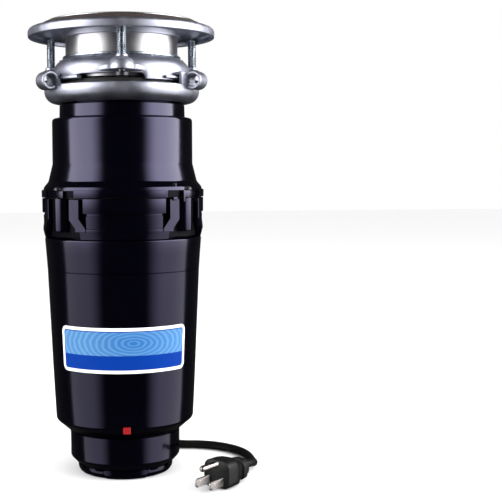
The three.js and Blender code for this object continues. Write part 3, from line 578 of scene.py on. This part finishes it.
cordSpec = {
    "radius": 3.2,
    "length": 0.9,
    "coilCentre": (0.0, 125.0),
    "innerTurn": 35.3,
    "outerTurn": 41.7,
    "topTurn": 38.5,
    "floorHeight": 3.3,
    "topHeight": 9.4,
    "leadIn": [
        (22.9, 62.8, 20), (24.7, 68, 19.6), (27.6, 75, 17.4), (30.3, 81, 14.8),
        (33.4, 89, 11.8), (36.3, 99, 10.0)],
    "run": [
        (9.6, 76.4, 3.3), (19, 71.9, 3.3), (29, 65.4, 3.3), (38.5, 58.2, 3.3),
        (48.6, 52.8, 3.3), (62, 50.8, 3.3), (75.3, 45.4, 3.3), (86, 36.4, 3.3),
        (93, 26.6, 3.3), (97.3, 15.4, 3.3), (98.9, 3.6, 3.3), (99.2, -4, 3.6),
        (99.2, -12, 4.6), (98.5, -18.9, 6.3), (96.6, -25.6, 8.2), (93.5, -31.9, 9.4),
        (89.4, -37.4, 9.8)],
}


# The coil's angle a runs from 0 to 970 degrees. Its radius and height ease from the top
# turn down to the inner floor turn between 300 and 355, and out to the outer turn
# between 620 and 680.
def coilPoints(spec, start=0, end=970, step=20):
    a = np.arange(start, end + 0.1, step)

    def ease(low, high):
        t = np.clip((a - low) / (high - low), 0, 1)
        return t * t * (3 - 2 * t)

    down, out = ease(300, 355), ease(620, 680)
    radius = spec["topTurn"] + (spec["innerTurn"] - spec["topTurn"]) * down
    radius = radius + (spec["outerTurn"] - spec["innerTurn"]) * out
    height = spec["topHeight"] + (spec["floorHeight"] - spec["topHeight"]) * down
    x = spec["coilCentre"][0] + radius * np.cos(np.radians(a))
    y = spec["coilCentre"][1] + radius * np.sin(np.radians(a))
    return np.stack([x, y, height], -1).tolist()


def makeCord(spec, pieces):
    path = throughPoints([*spec["leadIn"], *coilPoints(spec), *spec["run"]], 5)
    cord = makePiece("power_cord", tube(path, spec["radius"], 24), cordBlack,
                     standsFor=["cord_lead_in", "cord_coil", "cord_run"],
                     sharpAngle=50)
    length = float(np.linalg.norm(np.diff(path, axis=0), axis=1).sum()) * mm
    print("cord length", round(length, 3))


plugSpec = {
    "place": (89.1, -37.75, 9.8),
    "turn": 138.0,
    "width": 23.0,
    "height": 20.5,
    "relief": 15.0,
    "length": 20.0,
    "bladeSpacing": 12.7,
    "bladeLength": 16.0,
    "bladeWidth": 6.34,
    "bladeHeight": -3.8,
    "groundAbove": 11.9,
}


# Plug sections run along the plug: flat below, upright at the sides and round above.
def plugSection(along, half, low, high, power):
    x, z = superLoop(half, low, high, power, below=5)
    return np.stack([x, np.full(len(x), along), z], -1)


def makePlug(spec):
    half, low = spec["width"] / 2, 0.3 - spec["place"][2]
    high = low + spec["height"]
    relief, full = spec["relief"], spec["relief"] + spec["length"]
    sections = [
        plugSection(0.2, 4.0, -4.0, 4.0, 2),
        plugSection(1.2, 4.6, -4.6, 4.6, 2),
        plugSection(1.8, 5.9, -5.9, 5.9, 2),
        plugSection(5.6, 6.6, -6.6, 6.6, 2),
        plugSection(6.4, 7.8, -7.8, 7.4, 2.1),
        plugSection(11.2, 8.3, -8.2, 7.8, 2.1),
        plugSection(12.0, 6.9, -7.4, 6.6, 2.1),
        plugSection(14.0, 7.2, -7.6, 6.8, 2.2),
        plugSection(18.4, 9.4, low + 0.8, high - 2.6, 2.6),
        plugSection(relief + 5.4, half - 0.6, low + 0.1, high - 0.7, 3.2),
        plugSection(relief + 9, half - 0.2, low, high - 0.2, 3.6),
        plugSection(full - 1.4, half, low, high, 3.8),
        plugSection(full - 0.5, half - 0.15, low + 0.1, high - 0.15, 3.8),
        plugSection(full, half - 0.8, low + 0.6, high - 0.8, 3.8),
    ]
    across = onCircle(1, spec["turn"])

    def place(grids):
        return laid(grids, spec["place"], (0, 0, 1), (*across, 0))

    body = makePiece("plug_moulding", place(lofted(np.array(sections)[:, ::-1])), cordBlack,
                     standsFor="plug_body", sharpAngle=40)
    pieces = [body]
    start, long = full + 0.2, spec["bladeLength"]
    for i, side in enumerate((-1, 1)):
        x, z = side * spec["bladeSpacing"] / 2, spec["bladeHeight"]
        wide = spec["bladeWidth"] / 2
        flat = rounded([
            (0, wide, 1.2), (long - 1.4, wide, 0.8), (long, 1.9, 0.4), (long, -1.9, 0.4),
            (long - 1.4, -wide, 0.8), (0, -wide, 0)])
        centre = flat.mean(0)
        blade = []
        for thick, inset in ((-0.75, 0.96), (-0.6, 1.0), (0.6, 1.0), (0.75, 0.96)):
            y, up = (centre + (flat - centre) * inset).T
            blade.append(np.stack([np.full(len(flat), x + thick), start + y, z + up], -1))
        dimple = spun([(0, 0.12), (1.5, 0.12, 0.1), (1.7, 0), (0, -0.2)], 20)
        dimple = laid(dimple, (x - 0.72, start + long - 5.5, z), (-1, 0, 0), (0, 1, 0))
        pieces.append(makePiece(
            f"blade_{i + 1}", place(lofted(np.array(blade)) + dimple), bladeMetal,
            standsFor=f"plug_blade_{i + 1}", sharpAngle=40))
    pin = spun([(0, 0), (2.4, 0), (2.4, long, 1.2), (1.5, long + 2, 1.0), (0, long + 2)], 32)
    pin = laid(pin, (0, start, spec["bladeHeight"] + spec["groundAbove"]), (0, 1, 0), (1, 0, 0))
    pieces.append(makePiece("round_ground_pin", place(pin), bladeMetal,
                            standsFor="ground_pin", sharpAngle=40))
    return pieces


tieSpec = {
    "angle": 120.0,
    "middle": (38.5, 7.2),  # from the coil's centre, and up
    "half": (7.3, 6.4),
    "radius": 0.75,
}


# The turns of the coil are held by a thin twist tie at the back, a loop between an oval
# and a box.
def makeTie(spec, centre):
    c, s = onCircle(1, spec["angle"])
    t = np.linspace(0, 2 * np.pi, 49)
    radius, height = (
        middle + half * np.sign(wave) * np.abs(wave) ** 0.5
        for middle, half, wave in zip(spec["middle"], spec["half"], (np.cos(t), np.sin(t))))
    loop = np.stack([radius * c + centre[0], radius * s + centre[1], height], -1)
    return makePiece("coil_tie", tube(loop, spec["radius"], 10), blackRubber)


reliefSpec = {
    "angle": 70,
    "height": 20,
    "inside": 37.0,  # both ends, from the axis
    "tip": 66.4,
    "ribs": 5,
}


# A collar, then a ribbed stub, turned round the line along which the cord leaves.
def makeStrainRelief(spec):
    inside, tip = spec["inside"], spec["tip"]
    corners = [(0, inside), (6.9, inside, 0.5), (6.9, 42.7), (9.6, 42.7, 0.5),
               (9.6, 45.2, 0.8), (7.2, 46.0)]
    for i in range(spec["ribs"]):  # bending ribs, each a little thinner than the last
        at, radius = 47.2 + 3.4 * i, 6.9 - 0.45 * i
        corners += [(radius, at, 0.3), (radius, at + 2.1, 0.3),
                    (radius - 1.1, at + 2.4, 0.2), (radius - 1.1, at + 3.1, 0.2)]
    corners += [(4.6, tip - 1.4, 0.5), (4.3, tip, 0.4), (0, tip)]
    relief = radial(spun(corners, 48, 3), spec["angle"], spec["height"])
    makePiece("strain_relief", relief, cordBlack, standsFor="cord_gland")


plugPieces = makePlug(plugSpec)
for piece in plugPieces:  # the cap's gloss stays clear of the plug
    piece.visible_glossy = False
makeCord(cordSpec, [*plugPieces, makeTie(tieSpec, cordSpec["coilCentre"])])
makeStrainRelief(reliefSpec)
print("cord and plug made")


bodySpec = {
    "sides": 192,
    "taper": [  # height and radius
        (41.3, 53.3), (62, 54.3), (85, 55.4), (108, 56.4), (130, 57.4), (157, 58.6),
        (170, 59.5)],
    "wall": 2.4,
    "pocketRadius": 56.6,
    "turned": 1.0,  # the belts are set round by this many degrees
}


# The lower housing: a short cone, then the long taper, a fine parting line, and above
# it the recessed wall that the belt, the ribs and the lobes stand out from.
def makeLowerHousing(spec):
    taper = [(r, z) for z, r in spec["taper"]]
    outside = [(42.7, 32.3, 0.4), (53.2, 41.4, 1.3)] + taper[1:5]
    outside += [(58.55, 156.4), (58.0, 156.8, 0.1), (58.6, 157.2)]
    outside += [(59.5, 170), (60.35, 180.6, 0.7), (57.6, 182.4, 0.6)]
    inside = [(r - spec["wall"], z) for r, z in reversed(taper)]
    floor = [(42.9, 35.2), (30, 35.2), (30, 32.3)]
    pocket = spec["pocketRadius"]
    shell = ring([*outside, (pocket, 183), (55.4, 183), *inside, *floor], spec["sides"], 4)
    makePiece("lower_shell", shell, glossyBlack, standsFor="lower_housing")
    # the recessed wall is lined with the painted-shade black, so the gaps between belts, ribs and
    # lobes stay dark
    recess = ring([(pocket, 182.2), (pocket + 0.4, 211.2), (55.6, 211.2), (55.4, 182.2)], 144)
    makePiece("band_recess", recess, paintedShadeBlack)


beltSpec = {
    "spans": [(270, 29.0), (154, 38.0), (26, 38.0)],  # middle and half-width of each belt
    "root": 55.8,  # radius the belts and ribs start from, inside the wall
    "ribNear": 3.6,  # degrees past a belt's end
    "ribFar": 12.0,
    "ribSlant": 5.6,
}


# Three belts fill the spans between lobes: a proud belt under the seam, a strip below it
# and a short cone that falls to the body. A bent rib stands at each side of each belt.
def makeBelts(spec, body):
    grids, root = [], spec["root"]
    for angle, half in spec["spans"]:
        middle = angle + body["turned"]
        belt = [(root, 200.4), (62.0, 200.4, 0.5), (62.1, 211.2, 0.35), (root, 211.2)]
        below = [(root, 187.6), (60.8, 187.6), (61.1, 198.6), (59.9, 198.9), (59.9, 200.6),
                 (root, 200.6)]
        ledge = [(root, 181.6), (60.1, 181.6), (61.2, 186.0, 0.3), (61.4, 188.9, 0.4),
                 (60.6, 189.4), (root, 189.4)]
        grids += sector(belt, middle, half, 36)
        grids += sector(below, middle, half - 1.9, 36)
        grids += sector(ledge, middle, half + 3.1, 44)
        for side in (-1, 1):
            near, far = (middle + side * (half + spec[k]) for k in ("ribNear", "ribFar"))
            shift = side * spec["ribSlant"]
            rib = [(near, 211.0), (near, 196.8), (near - shift, 189.2), (near - shift, 187.0),
                   (far - shift, 187.0), (far - shift, 189.4), (far, 195.8), (far, 211.0)]
            grids += wrapped(rib if side < 0 else rib[::-1], root, 61.9, 0.45)
    makePiece("seam_belts_and_ribs", grids, glossyBlack, sharpAngle=25)


lobeSpec = {
    "bossCircle": 55.6,
    "bossRadius": 8.0,
    "capHalf": 8.6,
    # middle and half-width of each flange strip and each notch
    "strips": [(267.5, 32.5), (154, 50.0), (26, 50.0)],
    "notches": [(228.5, 6), (310.5, 8), (207, 4), (333.5, 4), (79, 4), (101, 4)],
}


# Each lobe is a broad round boss below the seam with a flat cap above it. Between the
# lobes the upper housing's flange stands out in strips. The notches at their ends are
# lined with thin sheets whose dull black is painted shade.
def makeLobes(spec):
    lower, upper, notches = [], [], []
    wide = spec["bossRadius"]
    for angle in lobeAngles:
        x, y = onCircle(spec["bossCircle"], angle)
        boss = spun([(0, 186.8), (wide - 0.6, 186.8, 0.5), (wide - 0.2, 187.6, 0.4),
                     (wide, 211.2, 0.3), (0, 211.2)], 64)
        lower += moved(boss, x, y)
        cap = [(56.2, 211.9), (63.9, 211.9, 0.3), (63.9, 217.0, 0.5), (56.2, 217.6)]
        upper += sector(cap, angle, spec["capHalf"], 20)
    strip = [(57.0, 211.8), (62.4, 211.8, 0.3), (62.5, 217.4, 0.5), (57.2, 217.5)]
    for middle, half in spec["strips"]:
        upper += sector(strip, middle, half, 60)
    notch = [(57, 211.9), (61.5, 211.9), (61.5, 217.2, 0.3), (57, 217.6)]
    for middle, half in spec["notches"]:
        notches += sector(notch, middle, half, 10)
    makePiece("lower_lobes", lower, glossyBlack, sharpAngle=30)
    makePiece("upper_lobes", upper, glossyBlack, sharpAngle=30)
    makePiece("flange_notches", notches, paintedShadeBlack, sharpAngle=30)


portSpec = {  # angle and height of each port
    "inlet": (90, 255),
    "outlet": (50, 183),
}


# The upper housing: a flange at the seam, a sloping shoulder, a cone, the drum and the
# neck, with the inlet's nipple on its back. The outlet's nozzle stands lower.
def makeUpperHousing(spec):
    shell = ring([
        (61.2, 211.8, 0.3), (61.2, 217.2, 0.4), (60.6, 219.6, 0.3), (57.2, 223.8, 0.5),
        (54.0, 236.8, 0.35), (53.9, 237.1), (53.9, 271.8, 2.6), (48.2, 272.1, 0.5),
        (48.0, 281.8, 0.5), (44.2, 282.0, 0.4), (44.2, 286.0, 0.4), (50.0, 286.0, 0.6),
        (50.0, 290.0, 0.6), (41.3, 290.0, 0.4), (41.3, 281.2), (45.4, 278.0),
        (45.4, 269.4), (51.3, 267.2), (51.3, 225.0), (57.6, 216.5), (57.6, 211.8)], 192)
    nipple = ring([
        (8.0, 51.6), (10.4, 51.6), (10.5, 55.2, 1.2), (10.5, 62.5), (11.3, 63.5, 0.4),
        (10.5, 66.6), (11.2, 67.4, 0.4), (10.2, 69.9, 0.4), (8.1, 70.0, 0.3)], 64)
    nozzle = ring([
        (16.0, 55.4), (20.0, 55.4), (20.0, 65.6, 0.6), (20.0, 69.9, 0.5), (16.2, 70.0, 0.4)], 96)
    makePiece("upper_shell", shell + radial(nipple, *spec["inlet"]), glossyBlack,
              standsFor="upper_housing")
    makePiece("outlet_nozzle", radial(nozzle, *spec["outlet"]), glossyBlack)


capSpec = {
    "frontHalf": 24.5,  # degrees to either side of the front
    "slotWidth": 1.6,
    "slots": [58, 90, 122, 154, 186, 218, 250, 282],  # degrees past the front
    "catches": [-33, 36, -62, 62, 130, 180, 230],
}


# The bottom cap: a drum on a chamfer, and a foot ring in segments with thin slots between.
def makeBottomCap(spec):
    shell = ring([
        (0.1, 0.9), (30.0, 0.9), (30.4, 0.5, 0.3), (34.8, 0.5, 0.8), (36.0, 2.4, 0.8),
        (36.1, 5.6), (42.3, 12.2, 0.8), (42.4, 31.9, 0.4), (39.4, 31.9), (39.4, 14.0),
        (33.6, 6.0), (33.6, 3.4), (0.1, 3.4)], 160, 4)
    makePiece("bottom_shell", shell, glossyBlack, standsFor="bottom_cap")
    foot = [(32.0, 0.0), (34.9, 0.0, 1.2), (36.6, 2.6, 1.4), (36.7, 6.0, 0.5), (32.0, 6.0)]
    proud = [(32.0, 0.0), (35.6, 0.0, 1.0), (37.3, 1.9, 1.2), (37.3, 6.5, 0.5), (32.0, 6.5)]
    grids = sector(proud, front, spec["frontHalf"], 24)
    slot = math.degrees(spec["slotWidth"] / 36.6)
    edges = [spec["frontHalf"] + slot, *spec["slots"], 360 - spec["frontHalf"] - slot]
    for low, high in zip(edges[:-1], edges[1:]):
        grids += sector(foot, front + (low + high) / 2, (high - low - slot / 2) / 2, 18)
    makePiece("foot_segments", grids, glossyBlack, sharpAngle=30)
    # small catches over the foot, where the cap is hooked on, in the dull black that is painted
    # shade
    catches = []
    catch = [(36.0, 5.2), (37.5, 5.4, 0.3), (38.6, 7.4, 0.4), (36.4, 7.6)]
    for angle in spec["catches"]:
        catches += sector(catch, front + angle, 4.2, 6)
    makePiece("cap_catches", catches, paintedShadeBlack)


# A thin sheet on the body's taper. Rows near its top and bottom are drawn in along a
# quarter circle, so its corners are round, and its UV follows angle and height.
def makeLabel(spec):
    low, high = (corner[2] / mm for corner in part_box("label_plate"))
    corner = spec["corner"]
    fromEdge = corner * (1 - np.cos(np.linspace(0, np.pi / 2, 9)))
    between = np.linspace(low + corner, high - corner, 8)[1:-1]
    height = np.concatenate([low + fromEdge, between, (high - fromEdge)[::-1]])
    past = np.maximum(corner - np.minimum(height - low, high - height), 0)
    short = corner - np.sqrt(np.maximum(corner ** 2 - past ** 2, 0))
    middle, half = math.radians(front + spec["turn"]), math.radians(spec["half"])
    share = 1 - 2 * short / spec["size"][0]
    turn = middle + np.linspace(-half, half, 90)[:, None] * share[None, :]
    radius = np.interp(height, [41.3, 85, 130], [53.3, 55.4, 57.4])

    def sheet(lift):
        r = (radius + lift)[None, :]
        z = np.broadcast_to(height, turn.shape)
        return np.stack([r * np.cos(turn), r * np.sin(turn), z], -1)

    sections = np.concatenate([sheet(0.42), sheet(0.12)[:, ::-1]], 1)
    label = makePiece("label_sheet", lofted(sections), labelInk, standsFor="label_plate",
                      sharpAngle=60)
    vertices = np.zeros(len(label.data.loops), np.int32)
    label.data.loops.foreach_get("vertex_index", vertices)
    place = np.zeros(len(label.data.vertices) * 3)
    label.data.vertices.foreach_get("co", place)
    x, y, z = place.reshape(-1, 3).T
    u = (np.arctan2(y, x) % (2 * np.pi) - middle) / (2 * half) + 0.5
    v = (z / mm - low) / (high - low)
    layer = label.data.uv_layers.new(name="UVMap")
    layer.data.foreach_set("uv", np.stack([u, v], -1)[vertices].ravel())


# Pan heads with a round recess, on the lobes.
def makeHousingScrews(circle=60.6):
    head = spun([(0, 217.3), (3.4, 217.3, 0.2), (3.4, 218.6, 0.6), (2.4, 219.9, 0.6),
                 (1.2, 220.1), (0.9, 219.1), (0, 218.9)], 32)
    shank = spun([(0, 191.4), (1.7, 191.4, 0.5), (1.7, 217.4), (0, 217.4)], 16)
    for i, angle in enumerate(lobeAngles):
        x, y = onCircle(circle, angle)
        makePiece(f"lobe_screw_{i + 1}", moved(head + shank, x, y), darkSteel,
                  standsFor=f"housing_screw_{i + 1}")


# A bridge clip sits over the seam on the right lobe, and a small hook beside it.
def makeSeamClip():
    leg = [(62.6, 208.6), (64.4, 208.6, 0.3), (64.4, 217.2, 0.4), (62.6, 217.2)]
    hook = [(58, 209.6), (63.0, 209.6, 0.4), (63.0, 212.2, 0.4), (58, 212.2)]
    peg = spun([(0, 217), (1.6, 217), (1.6, 222.4, 0.5), (0, 222.6)], 24)
    grids = sector(leg, 314.6, 0.7, 3) + sector(leg, 329.6, 0.7, 3)
    grids += sector(hook, 307.5, 1.6, 4) + moved(peg, *onCircle(59.0, 310))
    makePiece("seam_clip", grids, glossyBlack, sharpAngle=30)


buttonSpec = {
    "aside": 1.2,
    "square": 0.16,  # its corners, from a circle at 1 to a square at 0
}


# Soft-cornered squares that shrink towards the face, within the CAD button's box.
def makeResetButton(spec):
    low, high = (np.array(corner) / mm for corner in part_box("reset_button"))
    middle, half = (low + high) / 2 + (spec["aside"], 0, 0), (high - low) / 2
    t = np.linspace(0, 2 * np.pi, 40, endpoint=False)
    x, z = (np.sign(wave) * np.abs(wave) ** spec["square"] for wave in (np.cos(t), np.sin(t)))
    face = low[1]
    sections = []
    for y, grow in ((high[1], 1.0), (face + 0.7, 1.0), (face + 0.2, 0.95), (face, 0.86),
                    (face + 0.15, 0.6)):
        across, up = middle[0] + half[0] * grow * x, middle[2] + half[2] * grow * z
        sections.append(np.stack([across, np.full(len(t), y), up], -1))
    makePiece("red_button", lofted(np.array(sections)), buttonRed, "reset", "reset_button",
              50)


makeLowerHousing(bodySpec)
makeBelts(beltSpec, bodySpec)
makeLobes(lobeSpec)
makeUpperHousing(portSpec)
makeBottomCap(capSpec)
makeLabel(labelPrint)
makeHousingScrews()
makeSeamClip()
makeResetButton(buttonSpec)
print("housing made")


mountSpec = {
    "pitch": 1.27,  # of the screws' thread
    "threadDepth": 0.5,
    "screwRadius": 3.35,
    "screwCircle": 65.0,
    "screwFrom": 301.6,
    "screwTo": 337.3,
    "bellRadius": 9.9,
    "earCentre": (63.5, 298.4),
    "earRadius": 5.7,
    "earThick": 2.4,
    "earWidth": 12.6,
}


# The parts of the mount that stay still, each a full turn of its outline.
def makeFlanges():
    sleeve = ring([
        (41.5, 301), (43, 301, 0.4), (43, 342.3, 0.9), (56.2, 343.8, 0.3), (57, 344.4, 0.5),
        (56.8, 345.4, 0.6), (45.2, 345.8, 2.6), (41.5, 341, 2)], 160)
    makePiece("sink_flange_body", sleeve, pressedSteel, standsFor="sink_flange")
    backup = ring([
        (43.4, 332.5, 0.3), (44.8, 332.5, 0.6), (45.2, 334, 0.8), (45.4, 336.6, 1), (50, 337.4, 2),
        (60, 337.0, 2), (66, 337.6, 1.5), (68.8, 336.6, 1.2), (69.4, 333.3, 0.5),
        (71.3, 332.9, 0.9), (71.6, 338.2, 2.4), (69.2, 340.3, 2), (43.4, 340.2)], 192, 6)
    makePiece("backup_flange_body", backup, satinCast, standsFor="backup_flange")
    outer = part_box("fibre_gasket")[1][0] / mm
    fibre = ring([
        (43.3, 340.5), (outer, 340.5, 0.2), (outer - 0.1, 343.4, 0.4), (43.3, 343.5)], 160)
    makePiece("fibre_washer", fibre, brownFibre, standsFor="fibre_gasket")
    snap = ring([(43.3, 316.8), (45.2, 316.8, 0.6), (45.3, 318.7, 0.7), (43.3, 318.8)], 120)
    makePiece("snap_wire", snap, zincPlate, standsFor="snap_ring")
    seal = ring([
        (38, 290.4, 0.5), (49.6, 290.4, 0.8), (50.5, 292.6, 0.8), (49.7, 295.4, 0.8),
        (50.1, 297.4, 0.6), (49, 299.7, 0.8), (38, 299.9, 0.5)], 120)
    makePiece("mounting_seal", seal, blackRubber, standsFor="mounting_gasket")


# The lower edge of the upper ring dips to a skirt between each boss and the lobe to its
# right, so points below 303.2 are lowered by an amount that depends on their angle.
def makeUpperRing(spec):
    outline = rounded([
        (50.2, 302.5), (52.2, 302.5, 0.5), (52.6, 304.4), (52.5, 308.3, 3), (50.2, 313.2, 3),
        (45.4, 316.5, 1.3), (43.7, 316.6, 0.4), (43.7, 314.8), (47.6, 312.4, 2),
        (50.2, 307.5, 1.5)], steps=7)
    grid = turned(outline, sides=240)
    angle = np.degrees(np.arctan2(grid[..., 1], grid[..., 0]))
    around = (angle - front + 60) % 120 - 60
    skirt = np.clip((around - 17) / 2.5, 0, 1) * np.clip((58 - around) / 3, 0, 1)
    ramp = np.clip((-around - 36) / 18, 0, 1) * np.clip((around + 60) / 2, 0, 1)
    drop = 4.4 * skirt ** 2 * (3 - 2 * skirt) + 2.6 * ramp
    grid[..., 2] -= np.where(grid[..., 2] < 303.2, drop, 0)
    grids = [(grid, True, True)]
    tab = [(50, 299.0), (55.6, 299.2, 0.6), (55.8, 301.2, 0.5), (50, 301.6)]
    for angle in earAngles:
        grids += sector(tab, angle, 24, 30)
    wide = spec["bellRadius"]
    bell = spun([(0, 303), (wide + 0.2, 303, 0.7), (wide, 306.4, 3.6), (wide - 2.6, 311.0, 3),
                 (4.6, 312.0, 0.8), (4.3, 314.2, 0.6), (3.3, 314.3, 0.2), (0, 314.3)], 48, 7)
    dimple = spun([(0, 315.6), (1.9, 315.6, 0.3), (1.6, 316.9, 0.7), (0, 317.2)], 20)
    for angle in bossAngles:
        grids += moved(bell, *onCircle(spec["screwCircle"], angle))
        sections = []
        for r, half, top in ((48.5, 18, 304.5), (50.5, 16, 308.4), (53, 12, 310.0),
                             (56.5, 9.2, 310.3), (61, 8.4, 310.3), (65, 7.6, 309.8)):
            across, z = superLoop(half, 303, top, 3.2)
            sections.append(np.stack([np.full(len(z), r), across, z], -1)[::-1])
        grids += moved(lofted(np.array(sections)), 0, 0, 0, angle)
        for aside in (-27, 27):  # pressed dimples that hold the snap ring down
            grids += moved(dimple, *onCircle(46.4, angle + aside))
    makePiece("upper_ring_body", grids, satinCast, standsFor="upper_mounting_ring",
              sharpAngle=40)


# The screw's radius at height z and angle a is a triangle wave of z / pitch - a / 360.
def makeMountScrews(spec):
    low, high = spec["screwFrom"], spec["screwTo"]
    rows = int((high - low) / spec["pitch"] * 6)
    angle = np.linspace(0, 2 * np.pi, 24, endpoint=False)[:, None]
    height = np.linspace(low, high, rows)[None, :]
    phase = (height / spec["pitch"] - angle / (2 * np.pi)) % 1
    tip = 0.72 + 0.28 * np.clip(high - height, 0, 1)
    radius = (spec["screwRadius"] - spec["threadDepth"] * 2 * np.abs(phase - 0.5)) * tip
    radius = np.concatenate([np.zeros((24, 1)), radius, np.zeros((24, 1))], 1)
    height = np.concatenate([height[:, :1], height, height[:, -1:]], 1)
    height = np.broadcast_to(height, radius.shape)
    thread = np.stack([radius * np.cos(angle), radius * np.sin(angle), height], -1)
    head = spun([(0, 299.8), (4.7, 299.8, 0.2), (4.8, 301.2, 0.3), (4.5, 301.7), (0, 301.7)], 32)
    for side in (1, -1):  # the slot is left between two half discs
        edge = np.radians(np.linspace(-81, 81, 24))
        flat = np.stack([4.75 * np.cos(edge) * side, 4.75 * np.sin(edge) * side], -1)
        levels = ((299.9, 1), (299.1, 1), (298.5, 0.86))
        sections = [np.column_stack([flat * share, np.full(24, z)]) for z, share in levels]
        head += lofted(np.array(sections))
    for i, angle in enumerate(bossAngles):
        x, y = onCircle(spec["screwCircle"], angle)
        makePiece(f"thumb_screw_{i + 1}", moved([(thread, True, False)], x, y, 0, angle),
                  zincPlate, f"screw_{i + 1}", f"mounting_screw_{i + 1}", 40)
        makePiece(f"slotted_head_{i + 1}", moved(head, x, y, 0, angle), darkSteel,
                  f"screw_{i + 1}", sharpAngle=40)


# The lower ring: a round-bottomed band, three ears rolled from its upper edge and the
# hooks that slide over the upper ring's tabs.
def makeLowerRing(spec):
    grids = ring([
        (46, 283.4, 0.3), (53.4, 283.3, 3.4), (57.8, 286.4, 3.8), (59.6, 291, 3),
        (59.2, 295.2, 0.8), (58.2, 295.9, 0.5), (56.2, 295.4, 0.5), (56.0, 288.6, 1.6),
        (52.6, 286.4, 1), (46, 286.2, 0.3)], 192, 7)
    centre, radius = np.array(spec["earCentre"]), spec["earRadius"]
    turn = np.radians(np.linspace(186, -128, 40))
    curl = centre + radius * np.stack([np.cos(turn), np.sin(turn)], -1)
    path = np.concatenate([[(57.6, 290.5), (57.6, 293), (57.65, 295.5), (57.7, 297)], curl])
    ear = strip(path, spec["earThick"], spec["earWidth"])
    riser = [(56.9, 294), (59.2, 294, 0.4), (59.4, 304, 0.8), (57, 304)]
    hook = [(53, 302.4, 0.3), (59.3, 302.4, 0.4), (59.4, 304.5, 0.8), (53, 304.4, 0.5)]
    for angle in earAngles:
        grids += moved(ear, 0, 0, 0, angle)
        for side in (-1, 1):  # gussets where the ear's neck meets the band
            sections = []
            for z, half in ((294.2, 5.2), (295.8, 3.4), (297.6, 2.0), (299.5, 1.2)):
                loop = np.array([(56.9, -half), (58.8, -half), (58.8, half), (56.9, half)])
                sections.append(np.column_stack([loop + [0, side * 6.2], np.full(4, z)]))
            grids += moved(lofted(np.array(sections)), 0, 0, 0, angle)
        grids += sector(riser, angle - 8, 4.2, 10) + sector(hook, angle - 6, 6.5, 14)
    makePiece("lower_ring_body", grids, satinCast, "lower_ring", "lower_mounting_ring",
              40)


makeFlanges()
makeUpperRing(mountSpec)
makeMountScrews(mountSpec)
makeLowerRing(mountSpec)
print("sink mount made")


guardSpec = {
    "flapReach": 27.0,
    "slitStart": 0.4,
    "slitEnd": 2.6,
    "pleat": 1.9,
    "thick": 1.5,
}


# Each of four flaps spans u from -1 to 1 between two slits that widen outwards, and rises
# along its middle by pleat x (1 - |u|) x r / reach.
def makeSplashGuard(spec):
    grids = ring([
        (30, 320.9, 0.4), (33.5, 320.2, 1), (38.8, 316.4, 0.6), (41.0, 316.1, 0.5),
        (41.1, 331.9, 1.0), (39.9, 332.2, 0.6), (38.7, 331.2, 0.6), (38.6, 325.2, 1.8),
        (33.2, 323.4, 1), (30, 322.9, 0.3)], 120)
    far = spec["flapReach"]
    rim = [(far - 0.4, 321.1), (30.5, 321.1), (30.5, 322.8), (far - 0.4, 322.9)]
    r = np.linspace(1.2, far, 14)
    r = np.concatenate([r, r[::-1]])
    half = np.concatenate([np.full(14, spec["thick"] / 2), np.full(14, -spec["thick"] / 2)])
    slit = spec["slitStart"] + (spec["slitEnd"] - spec["slitStart"]) * r / far
    u = np.linspace(-1, 1, 19)[:, None]
    for angle in (45, 135, 225, 315):
        reach = 45 - np.degrees(np.arcsin(np.clip(slit / 2 / r, 0, 0.9)))
        turn = np.radians(angle + reach * u)
        z = 321.9 + spec["pleat"] * (1 - np.abs(u)) * r / far + half
        grids += lofted(np.stack([r * np.cos(turn), r * np.sin(turn), z], -1)[:, ::-1])
        grids += sector(rim, angle + 45, 39.5, 30)
    makePiece("splash_cup", grids, blackRubber, "splash", "splash_guard", 40)


# A pressed cap on a rubber seat, both full turns of their outlines.
def makeStopper():
    cap = spun([
        (0, 340.6), (33.4, 340.6, 0.3), (33.7, 341.4, 0.4), (33.0, 342.6, 0.6), (27.5, 342.2, 2),
        (23.4, 342.9, 1.6), (21.6, 344.6, 1.2), (20.5, 345.2, 0.4), (20.9, 346.2, 0.5),
        (21.1, 348.0, 1), (19.4, 349.4, 1.4), (0, 348.9)], 120, 6)
    makePiece("stopper_dome", cap, polishedSteel, "stopper", "stopper_cap")
    seat = spun([
        (0, 336.3), (9, 332.6, 1), (37.4, 332.6, 1), (40.6, 335.6, 1), (41.0, 339.2, 0.8),
        (39.2, 340.3, 0.8), (35.2, 339.9, 0.6), (34, 340.3, 0.2), (0, 340.3)], 120)
    makePiece("stopper_seat", seat, blackRubber, "stopper", "stopper_gasket")


makeSplashGuard(guardSpec)
makeStopper()
print("splash guard and stopper made")


# The inner parts keep their CAD shape and only get a finish.
innerFinishes = [
    (glossyBlack, ["inlet_plug", "drain_bowl"]),
    (blackRubber, ["housing_seal", "shaft_seal"]),
    (zincPlate, ["impeller_pin_1", "impeller_pin_2", "turntable_nut", "shaft",
                 "brush_spring_1", "brush_spring_2"]),
    (polishedSteel, ["hopper_liner", "turntable", "impeller_1", "impeller_2",
                     "upper_bearing", "lower_bearing"]),
    (darkSteel, ["grind_ring", "motor_can", "armature_core"]),
    (satinCast, ["upper_end_bell", "lower_end_bell"]),
    (dullFerrite, ["magnet_1", "magnet_2"]),
    (enamelledCopper, ["winding_upper", "winding_lower", "commutator"]),
    (brownPhenolic, ["brush_plate"]),
    (softCarbon, ["overload_breaker", "brush_1", "brush_2"]),
]
for finish, names in innerFinishes:
    for name in names:
        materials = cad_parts[name].data.materials
        materials.clear()
        materials.append(finish)
print("inner parts finished")
